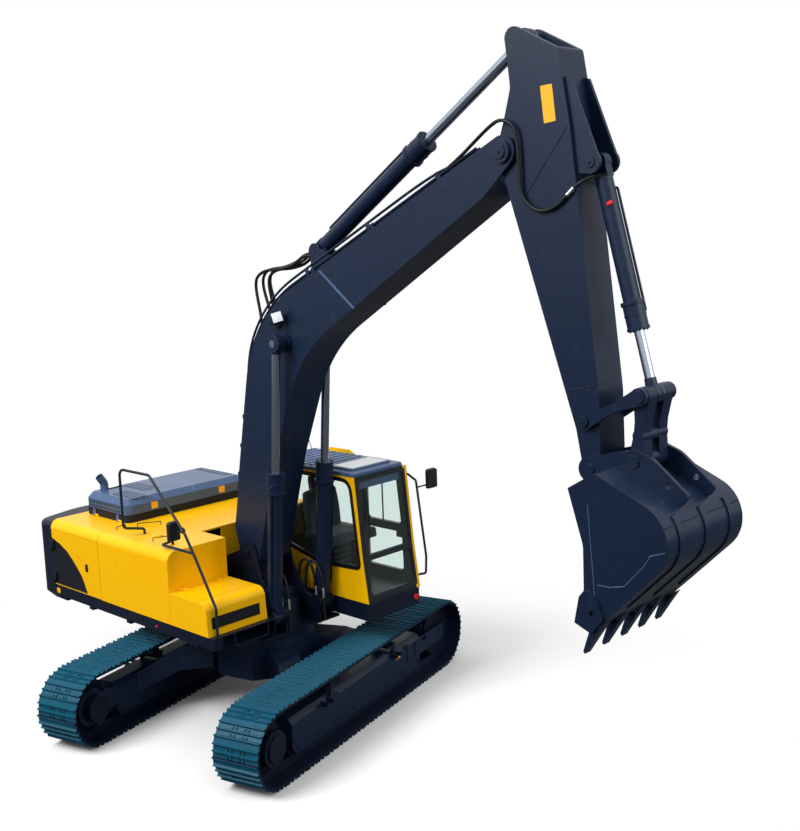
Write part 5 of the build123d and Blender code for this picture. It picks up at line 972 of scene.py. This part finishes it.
class EXCAVATOR_OT_cab(bpy.types.Operator):
    """Window rubbers, wiper, controls and lamps of the cab"""

    bl_idname = "excavator.cab"
    bl_label = "Cab"

    def execute(self, context):
        rubber = context.scene.excavator_trim.rubber
        overlap = -0.004
        right_window = [
            (-0.33, 2.06, 0.05), (-0.33, 2.925, 0.06), (1.145, 2.925, 0.15), (1.262, 1.88, 0.045),
            (0.56, 1.845, 0.20),
        ]
        quarter = soft_outline(
            [(-0.33, 2.06, 0.05), (-0.33, 2.90, 0.06), (0.34, 2.90, 0.05), (0.34, 2.06, 0.05)], 8,
        )
        rear = soft_outline(rectangle((0.68, 2.33), (1.30, 2.89), 0.06), 8)
        bm = bmesh.new()
        frame_band(bm, soft_outline(right_window, 10), overlap, rubber, CAB_RIGHT - 5 * MM, CAB_RIGHT + MM)
        frame_band(bm, quarter, overlap, 0.03, CAB_LEFT - MM, CAB_LEFT + 5 * MM)
        frame_band(bm, rear, overlap, 0.03, -0.455, -0.449, axis="X")
        finished("cab_window_rubbers", bm, "rubber", "upper")
        bm = bmesh.new()
        for window in (
            [(0.535, 2.215, 0.05), (0.535, 2.85, 0.05), (1.085, 2.85, 0.06), (1.155, 2.215, 0.05)],
            [(0.535, 1.60, 0.06), (0.535, 2.11, 0.06), (1.16, 2.11, 0.06), (1.175, 1.60, 0.06)],
        ):
            frame_band(bm, soft_outline(window, 8), overlap, 0.022, CAB_LEFT - MM, CAB_LEFT + 4 * MM)
        finished("door_window_rubbers", bm, "rubber", "cab_door")
        boxed(
            "door_handle", (1.02, CAB_LEFT, 2.02), (1.12, CAB_LEFT + 0.022, 2.17), "plastic", "cab_door",
            0.006,
        )
        # Red lamp at the front corner of the cab's base
        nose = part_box("cab_base")[1][0]
        bm = bmesh.new()
        drum(bm, (nose - MM, 1.372, 1.315), (1, 0, 0), 0.040, 0.012, 32, 0.036)
        finished("corner_lamp", bm, "red", "upper")

        def screen_x(z):
            """Forward place of the upper windscreen at a height."""
            share = (z - SCREEN_KNEE[1]) / (SCREEN_BROW[1] - SCREEN_KNEE[1])
            return SCREEN_KNEE[0] + (SCREEN_BROW[0] - SCREEN_KNEE[0]) * share

        # Wiper on the upper windscreen: arm and blade
        parts = []
        for name, run, radius in (
            ("wiper_arm", [(0.60, 2.28), (0.66, 2.45), (0.70, 2.62)], 0.007),
            ("wiper_blade", [(0.695, 2.38), (0.70, 2.58), (0.702, 2.80)], 0.009),
        ):
            route = [(screen_x(z) + 0.012, y, z) for y, z in run]
            parts.append(hose(name, route, radius, "upper", "rubber", 8))
        joined("wiper", parts)
        # Sun visor behind the windscreen's top, and the bar between the door's sliding panes
        brow = screen_x(2.88)
        boxed("sun_visor", (brow - 0.060, 0.600, 2.820), (brow - 0.052, 1.360, 2.930), "slate", "upper")
        pane = CAB_LEFT - 0.012
        boxed("pane_bar", (0.805, pane - 0.010, 2.215), (0.823, pane, 2.850), "rubber", "cab_door")
        # Travel levers: a stem and a grip each
        bm = bmesh.new()
        for y in (0.900, 1.020):
            drum(bm, (0.960, y, 1.480), (-0.12, 0, 1), 0.009, 0.640, 12)
            drum(bm, (0.886, y, 2.095), (-0.12, 0, 1), 0.020, 0.080, 16, 0.015)
        finished("travel_levers", bm, "plastic", "upper")
        # Whip antenna, yellow guard on the roof's far edge, and the roof's pane
        hose("antenna", [(-0.40, 1.34, 3.03), (-0.39, 1.25, 3.30), (-0.36, 1.10, 3.62)], 0.005, "upper")
        guard = [(-0.22, 3.03, 0.01), (-0.10, 3.085, 0.05), (0.26, 3.085, 0.05), (0.38, 3.03, 0.01)]
        slab("roof_guard", guard, 1.405, 1.422, "yellow", "upper")
        slab(
            "roof_hatch_pane", rectangle((0.735, 0.68), (1.065, 1.30), 0.04), 3.060, 3.0635, "lens", "upper",
            "Z",
        )
        return {"FINISHED"}


class EXCAVATOR_OT_seat(bpy.types.Operator):
    """Padded cushion, back and head rest in place of the seat's solid"""

    bl_idname = "excavator.seat"
    bl_label = "Operator's seat"

    def execute(self, context):
        middle = (CAB_LEFT + CAB_RIGHT) / 2
        tilt = math.radians(-8)
        ball, roundness, crown, seam_depth, seam_width = 1.28, 0.32, 0.05, 0.10, 0.05
        rows = (
            ("seat_cushion", (0.330, middle, 2.045), (0.265, 0.29, 0.070), 0.0, 0.7),
            ("seat_back", (0.130, middle, 2.330), (0.062, 0.270, 0.300), tilt, 0.7),
            ("head_rest", (0.066, middle, 2.720), (0.045, 0.130, 0.082), tilt, 0.8),
        )
        for name, centre, half, lean, fill in rows:
            bm = bmesh.new()
            bmesh.ops.create_cube(bm, size=2)
            bmesh.ops.subdivide_edges(bm, edges=bm.edges[:], cuts=11, use_grid_fill=True)
            turn = Matrix.Rotation(lean, 3, "Y")
            thin = half.index(min(half))
            for vert in bm.verts:
                flat = vert.co.copy()
                soft = flat.lerp(flat.normalized() * ball, roundness)
                reach = [max(-1.0, min(1.0, c)) for c in soft]
                puff = 1 + crown * math.cos(flat.x * 1.5) * math.cos(flat.y * 1.5)
                channel = 1.0
                for seam in (-0.5, 0.5):
                    channel -= seam_depth * math.exp(-((flat.y - seam) / seam_width) ** 2)
                reach[thin] *= puff * channel
                vert.co = Vector(centre) + turn @ Vector([reach[i] * half[i] for i in range(3)])
            pad = finished(name, bm, "fabric", "upper", 80)
            smoother = pad.modifiers.new("soft", "SUBSURF")
            smoother.levels = smoother.render_levels = 1
        bm = bmesh.new()
        block(bm, (0.14, middle - 0.18, 1.480), (0.52, middle + 0.18, 1.60), soften=0.012)
        for step in range(5):
            z = 1.60 + step * 0.072
            block(
                bm, (0.16 + 0.006 * step, middle - 0.16, z), (0.50, middle + 0.16, z + 0.062), soften=0.014,
            )
        finished("seat_suspension", bm, "plastic", "upper")
        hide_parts("seat")
        return {"FINISHED"}


class EXCAVATOR_OT_front(bpy.types.Operator):
    """Hoses, beads, pin heads, collars and marks of boom, arm and bucket"""

    bl_idname = "excavator.front"
    bl_label = "Boom, arm and bucket"

    def execute(self, context):
        trim = context.scene.excavator_trim

        def at(plane, along, y, up):
            return plane @ Vector((along, y, up))

        # Weld beads along the side plates, and the ground seam of the boom's bend
        for hand, name in ((-1, "right"), (1, "left")):
            y = hand * BOOM_HALF
            beads(f"boom_beads_{name}", [
                [at(BOOM, 0.62, y, 0.60), at(BOOM, 0.74, y, 0.26)],
                [at(BOOM, 5.02, y, 0.56), at(BOOM, 4.88, y, 0.24)],
            ], "boom")
            y = hand * ARM_HALF
            beads(f"arm_beads_{name}", [
                [at(ARM, 0.06, y, 0.73), at(ARM, 0.26, y, 0.43), at(ARM, 0.47, y, 0.11)],
                [at(ARM, 2.36, y, 0.29), at(ARM, 2.34, y, -0.04)],
            ], "arm")
            y = hand * BUCKET_HALF
            beads(f"bucket_beads_{name}", [
                [at(BUCKET, 0.36, y, -0.94), at(BUCKET, 0.48, y, -0.94), at(BUCKET, 0.64, y, -0.90),
                 at(BUCKET, 0.84, y, -0.68), at(BUCKET, 0.90, y, -0.58), at(BUCKET, 1.04, y, -0.53)],
                [at(BUCKET, 0.26, y, -0.22), at(BUCKET, 0.33, y, -1.10)],
            ], "bucket", "slate")
            bm = bmesh.new()
            face = hand * BOOM_HALF
            seam = [(3.585, 1.200), (3.615, 1.190), (3.665, 0.530), (3.635, 0.530)]
            prism(bm, [Vector(spot) for spot in seam], face - hand * MM, face + hand * 1.5 * MM, place=BOOM)
            finished(f"bend_seam_{name}", bm, "slate", "boom")
        # Welds across the bucket's rolled back
        beads("bucket_back_beads", [
            [at(BUCKET, 1.028, -0.64, -0.321), at(BUCKET, 1.028, 0.64, -0.321)],
            [at(BUCKET, 1.060, -0.64, -0.563), at(BUCKET, 1.060, 0.64, -0.563)],
        ], "bucket", "charcoal")
        # Navy eyes at the rods' ends, over the chrome of the bare solids
        for name, plane, eye, radius, half, side, neck, reach in (
            ("boom_cylinder_right_rod", BOOM_RAM, BOOM_EYE, 0.100, 0.055, -RAM_SIDE, 0.062, 0.04),
            ("boom_cylinder_left_rod", BOOM_RAM, BOOM_EYE, 0.100, 0.055, RAM_SIDE, 0.062, 0.04),
            ("arm_cylinder_rod", ARM_RAM, ARM_EYE, 0.095, 0.059, 0.0, 0.066, 0.11),
            ("bucket_cylinder_rod", BUCKET_RAM, LINK_PIN, 0.088, 0.050, 0.0, 0.058, 0.08),
        ):
            back = (plane @ Vector((-1, 0, 0)) - plane @ Vector((0, 0, 0))).normalized()
            bm = bmesh.new()
            centre = Vector((eye[0], side, eye[1]))
            across = Vector((0, half, 0))
            collar(bm, centre - across, (0, 1, 0), radius - 0.004, radius + 0.003, 2 * half, 48)
            for hand in (-1, 1):
                collar(bm, centre + across * hand, (0, hand, 0), 0.045, radius, 0.0012, 48)
            drum(bm, centre + back * (radius - 0.02), back, neck, reach, 32, neck * 0.92)
            finished(f"eye_cover_{name}", bm, "navy", name)
        # Pin heads with a keeper bolt, at each pivot
        pins = (
            ("boom_foot", "boom", BOOM, 0, 0, BOOM_HALF, 0.085, 0.020),
            ("boom_tip", "boom", BOOM, BOOM_LENGTH, 0, BOOM_HALF + 0.034, 0.075, 0.018),
            ("guide", "arm", ARM, ARM_LENGTH - 0.442, 0.090, 0.264, 0.055, 0.012),
            ("arm_base", "boom", BOOM, 3.600, 1.500, 0.067 + 0.019, 0.055, 0.014),
            ("bucket_base", "arm", ARM, 0.433, 0.843, 0.147 + 0.017, 0.055, 0.014),
        )
        for name, body, plane, along, up, half, radius, depth in pins:
            bm = bmesh.new()
            for hand in (-1, 1):
                head = at(plane, along, hand * (half - 0.002), up)
                bolt = at(plane, along, hand * (half + depth - 0.004), up)
                drum(bm, head, (0, hand, 0), radius, depth, 32, radius * 0.92)
                drum(bm, bolt, (0, hand, 0), radius * 0.28, 0.012, 6)
            finished(f"pin_head_{name}", bm, "navy", body)
        # Bolted rings on the glands
        for plane, body, length, gland, side in (
            (BOOM_RAM, "boom_cylinder_right_barrel", 1.820, 0.110, -RAM_SIDE),
            (BOOM_RAM, "boom_cylinder_left_barrel", 1.820, 0.110, RAM_SIDE),
            (ARM_RAM, "arm_cylinder_barrel", 2.010, 0.115, 0.0),
            (BUCKET_RAM, "bucket_cylinder_barrel", 1.560, 0.098, 0.0),
        ):
            along = (plane @ Vector((1, 0, 0)) - plane @ Vector((0, 0, 0))).normalized()
            bm = bmesh.new()
            for place, reach, depth in ((0.0, 0.007, 0.030), (-0.150, 0.004, 0.018), (-0.270, 0.012, 0.040)):
                spot = at(plane, length + place - depth if place == 0.0 else length + place, side, 0)
                collar(bm, spot, along, gland - 0.006, gland + reach, depth, 40)
            finished(f"gland_rings_{body}", bm, "navy", body)
            spots = []
            for i in range(10):
                a = 2 * math.pi * i / 10
                offset = Vector((0, math.cos(a), math.sin(a))) * (gland - 0.018)
                spots.append((tuple(at(plane, length, side + offset.y, offset.z)), tuple(along)))
            studs(f"gland_bolts_{body}", spots, body, "navy", 0.009, 0.010)
        # Feed pipes on the barrels
        for plane, body, side, radius, start, end, angle in (
            (BOOM_RAM, "boom_cylinder_right_barrel", -RAM_SIDE, 0.093, 0.24, 1.66, 200),
            (BOOM_RAM, "boom_cylinder_left_barrel", RAM_SIDE, 0.093, 0.24, 1.66, -20),
            (ARM_RAM, "arm_cylinder_barrel", 0.0, 0.095, 0.30, 1.84, 100),
            (BUCKET_RAM, "bucket_cylinder_barrel", 0.0, 0.082, 0.26, 1.40, 60),
        ):
            a = math.radians(angle)
            out = Vector((math.cos(a), math.sin(a)))
            run = []
            for along, reach in (
                (start, radius - 0.01), (start, radius + 0.016), (start + 0.03, radius + 0.016),
                (end - 0.03, radius + 0.016), (end, radius + 0.016), (end, radius - 0.005),
            ):
                run.append(at(plane, along, side + out.x * reach, out.y * reach))
            hose(f"feed_pipe_{body}", run, 0.013, body, "navy", 6)
        # Red end marks on the bucket cylinder's barrel
        bm = bmesh.new()
        for along in (0.39, 1.31):
            drum(bm, at(BUCKET_RAM, along, -0.066, 0.040), (0, -0.86, 0.52), 0.030, 0.012, 24, 0.026)
        finished("barrel_marks", bm, "red", "bucket_cylinder_barrel")
        # Blank sticker on the arm's right plate
        label = [(-0.398, 0.577, 0.01), (-0.364, 0.705, 0.01), (-0.039, 0.640, 0.01), (-0.066, 0.510, 0.01)]
        slab("arm_sticker", label, -ARM_HALF - 1.2 * MM, -ARM_HALF, "sticker", "arm", place=ARM, steps=3)
        # Work lamp on the boom: a white rounded square in a black shell
        aim = at(BOOM, 1, -0.9, -0.45) - at(BOOM, 0, 0, 0)
        lamp = aimed(at(BOOM, 2.790, -0.365, 1.300), aim) @ Matrix.Rotation(math.radians(15), 4, "Z")
        boxed(
            "work_lamp_shell", (-0.070, -0.070, -0.040), (0.070, 0.070, 0.030), "plastic", "boom", 0.016,
            lamp,
        )
        boxed("work_lamp_lens", (-0.058, -0.058, 0.024), (0.058, 0.058, 0.036), "lens", "boom", 0.005, lamp)

        # Hoses from the boom's pipes round its tip to the arm, the far one mirrored
        radius = trim.hose
        start, end = at(BOOM, 6.10, 0, 0.30), at(ARM, 0.20, 0, 0.20)
        for hand, name in ((1, "right"), (-1, "left")):
            run = [at(BOOM, along, hand * y, up) for along, y, up in (
                (5.62, -0.205, 0.452), (5.80, -0.205, 0.395), (6.02, -0.215, 0.340), (6.251, -0.235, 0.273),
                (6.375, -0.250, 0.214), (6.430, -0.250, 0.130), (6.444, -0.245, 0.0),
            )]
            run += [at(ARM, along, hand * y, up) for along, y, up in (
                (0.312, -0.236, 0.113), (0.436, -0.232, 0.075), (0.559, -0.230, 0.110),
                (0.681, -0.230, 0.222), (0.704, -0.235, 0.399), (0.640, -0.225, 0.560),
                (0.560, -0.200, 0.735), (0.560, -0.120, 0.835),
            )]
            tip_hose = hose(f"tip_hose_{name}", run, radius * 1.1, None)
            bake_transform(tip_hose)
            # Plated ferrule where the hose meets the port block
            bm = bmesh.new()
            a, b = at(ARM, 0.640, hand * -0.2275, 0.560), at(ARM, 0.600, hand * -0.214, 0.645)
            drum(bm, a, b - a, radius * 1.35, (b - a).length, 16)
            finished(f"hose_ferrule_{name}", bm, "steel", "arm")
        # Raised pipes over the front half of the boom, on posts; its top falls evenly from the bend
        pipe_side = 0.205
        top_start, top_height, top_fall = 2.383, 1.727, 0.4127
        bm = bmesh.new()
        for along in (3.40, 4.42, 5.45):
            up = top_height - (along - top_start) * top_fall
            post = BOOM @ Matrix.Translation((along, 0, up)) @ Matrix.Rotation(math.radians(22.4), 4, "Y")
            for y in (-pipe_side, pipe_side):
                block(bm, (-0.025, y - 0.012, -0.01), (0.025, y + 0.012, 0.095), post, 0.004)
        finished("pipe_posts", bm, "navy", "boom")
        parts = []
        bend_along, bend_up, bend_radius = 2.502, -0.107, 1.650
        lifts = (0.045, 0.075, 0.095, 0.1, 0.1, 0.1, 0.1)
        for y in (-pipe_side, pipe_side):
            route = []
            for lift, turn in zip(lifts, (116, 110, 102, 94, 86, 78, 70)):
                reach = bend_radius + lift
                a = math.radians(turn)
                route.append(at(BOOM, bend_along + reach * math.cos(a), y, bend_up + reach * math.sin(a)))
            for along, up in ((3.40, 1.415), (4.42, 0.994), (5.45, 0.569), (5.62, 0.452)):
                route.append(at(BOOM, along, y, up))
            parts.append(hose("raised_pipe", route, 0.015, "boom", "navy", 8))
        joined("raised_pipes", parts)
        # Bulkhead on the rear bend that the arch hoses leave from
        bulkhead = BOOM @ Matrix.Translation((2.235, 0, 1.515)) @ Matrix.Rotation(math.radians(-9), 4, "Y")
        boxed(
            "hose_bulkhead", (-0.020, -0.110, -0.03), (0.020, 0.215, 0.110), "navy", "boom", 0.005, bulkhead,
        )
        # Hoses that arch from the boom's rear bend to the ports of the arm cylinder's base
        outer = (
            (2.235, 1.600), (2.290, 1.690), (2.372, 1.772), (2.510, 1.969), (2.605, 2.071), (2.701, 2.092),
            (2.851, 2.020), (3.012, 1.850), (3.177, 1.720), (3.278, 1.667), (3.428, 1.628), (3.496, 1.528),
            (3.600, 1.475),
        )
        inner = (
            (2.235, 1.600), (2.330, 1.690), (2.430, 1.790), (2.484, 1.887), (2.569, 2.017), (2.655, 2.082),
            (2.770, 2.082), (2.887, 2.000), (3.030, 1.860), (3.170, 1.760), (3.278, 1.700), (3.428, 1.650),
            (3.520, 1.560),
        )
        for name, route, start_y, end_y in (
            ("outer_right", outer, -0.080, -0.075), ("inner_right", inner, 0.060, -0.040),
            ("outer_left", outer, 0.150, 0.075), ("inner_left", inner, 0.190, 0.040),
        ):
            count = len(route) - 1
            run = [
                at(BOOM, along, start_y + (end_y - start_y) * i / count, up)
                for i, (along, up) in enumerate(route)
            ]
            hose(f"arch_hose_{name}", run, radius * 1.15, "boom")
        # Four hoses with plated fittings rise from the deck, beside the boom and clear of its way down
        fittings = bmesh.new()
        for i, (y, back) in enumerate(((-0.280, 0.0), (-0.280, 0.13), (0.280, 0.0), (0.280, 0.13))):
            run = [
                (x - back, y, z)
                for x, z in (
                    (0.880, 1.20), (0.870, 1.36), (0.860, 1.52), (0.840, 1.80), (0.740, 1.92), (0.620, 1.90),
                    (0.560, 1.76), (0.540, 1.50),
                )
            ]
            hose(f"deck_hose_{i + 1}", run, radius * 1.1, "upper")
            drum(fittings, (0.866 - back, y, 1.47), (-0.04, 0, 1), radius * 1.15, 0.10, 6)
            drum(fittings, (0.862 - back, y, 1.57), (-0.06, 0, 1), radius * 1.14, 0.03, 16)
        finished("hose_fittings", fittings, "steel", "upper")
        return {"FINISHED"}


class EXCAVATOR_OT_tracks(bpy.types.Operator):
    """Shoe bolts, slots and frame hardware of the undercarriage"""

    bl_idname = "excavator.tracks"
    bl_label = "Tracks"

    def execute(self, context):
        trim = context.scene.excavator_trim
        loop = 4 * HALF_TUMBLER + 2 * math.pi * PITCH_RADIUS
        pitch = loop / trim.shoes

        def pitch_point(distance):
            """Point of the pitch line at a distance from the rear wheel's top, the lower half turned."""
            turns, run = divmod(distance % loop, loop / 2)
            hand = -1 if turns else 1
            a = math.pi / 2 - max(run - 2 * HALF_TUMBLER, 0.0) / PITCH_RADIUS
            x = min(run, 2 * HALF_TUMBLER) - HALF_TUMBLER + PITCH_RADIUS * math.cos(a)
            return Vector((hand * x, AXLE_HEIGHT + hand * PITCH_RADIUS * math.sin(a)))

        for name, middle in (("near", -HALF_GAUGE), ("far", HALF_GAUGE)):
            spots, slots = [], []
            for shoe in range(trim.shoes):
                a, b = pitch_point(shoe * pitch), pitch_point((shoe + 1) * pitch)
                along = (b - a).normalized()
                out = Vector((-along.y, along.x))
                facing = TRACK.to_3x3() @ Vector((out.x, 0, out.y))
                for share in (0.28, 0.70):
                    foot = a + (b - a) * share + out * SHOE_FACE
                    for row in (-0.105, -0.055, 0.055, 0.105):
                        spot = TRACK @ Vector((foot.x + TRACK_OFFSET, middle + row, foot.y))
                        spots.append((tuple(spot), tuple(facing)))
                # Three flat dark discs in the middle of each shoe are painted shade of its slots
                foot = a + (b - a) * 0.49 + out * (SHOE_FACE + 0.001)
                for row in (-0.025, 0.0, 0.025):
                    spot = TRACK @ Vector((foot.x + TRACK_OFFSET, middle + row, foot.y))
                    slots.append((tuple(spot), tuple(facing)))
            studs(f"shoe_bolts_{name}", spots, "undercarriage", "shoe", 0.013, 0.014)
            studs(f"shoe_slots_{name}", slots, "undercarriage", "graphic", 0.012, 0.003, 8, 0.018)

        # Blank sticker on the outer plates of the side frames, and their mud slots as dark blocks, painted
        # shade of the openings
        for hand, name in ((-1, "near"), (1, "far")):
            face = hand * (HALF_GAUGE + HALF_FRAME)
            inner, outer = sorted((face - hand * MM, face + hand * 2 * MM))
            low, high = (0.84, inner, 0.470), (0.95, outer, 0.530)
            boxed(f"frame_sticker_{name}", low, high, "sticker", "undercarriage", place=TRACK)
            bm = bmesh.new()
            for x in (-0.98, -0.62, 0.72, 1.10):
                block(bm, (x - 0.05, inner, 0.545), (x + 0.05, outer, 0.585), TRACK)
            finished(f"mud_slots_{name}", bm, "rubber", "undercarriage")
        return {"FINISHED"}


class EXCAVATOR_PT_panel(bpy.types.Panel):
    """Lists the excavator's operators"""

    bl_label = "Crawler Excavator"
    bl_idname = "EXCAVATOR_PT_panel"
    bl_space_type = "VIEW_3D"
    bl_region_type = "UI"
    bl_category = "Excavator"

    def draw(self, context):
        for operator in OPERATORS:
            self.layout.operator(operator.bl_idname)


GROUPS = (("excavator_finish", FinishSizes), ("excavator_trim", TrimSizes), ("excavator_stage", StageSizes))
OPERATORS = (
    EXCAVATOR_OT_stage, EXCAVATOR_OT_finishes, EXCAVATOR_OT_panels, EXCAVATOR_OT_hood, EXCAVATOR_OT_cab,
    EXCAVATOR_OT_seat, EXCAVATOR_OT_front, EXCAVATOR_OT_tracks,
)
CLASSES = tuple(group for _, group in GROUPS) + OPERATORS + (EXCAVATOR_PT_panel,)


def register():
    for entry in CLASSES:
        bpy.utils.register_class(entry)
    for name, group in GROUPS:
        setattr(bpy.types.Scene, name, bpy.props.PointerProperty(type=group))


def unregister():
    for name, _ in GROUPS:
        delattr(bpy.types.Scene, name)
    for entry in reversed(CLASSES):
        bpy.utils.unregister_class(entry)


def main():
    register()
    bpy.ops.excavator.stage()
    bpy.ops.excavator.finishes()
    bpy.ops.excavator.panels()
    bpy.ops.excavator.hood()
    bpy.ops.excavator.cab()
    bpy.ops.excavator.seat()
    bpy.ops.excavator.front()
    bpy.ops.excavator.tracks()


if __name__ == "__main__":
    main()
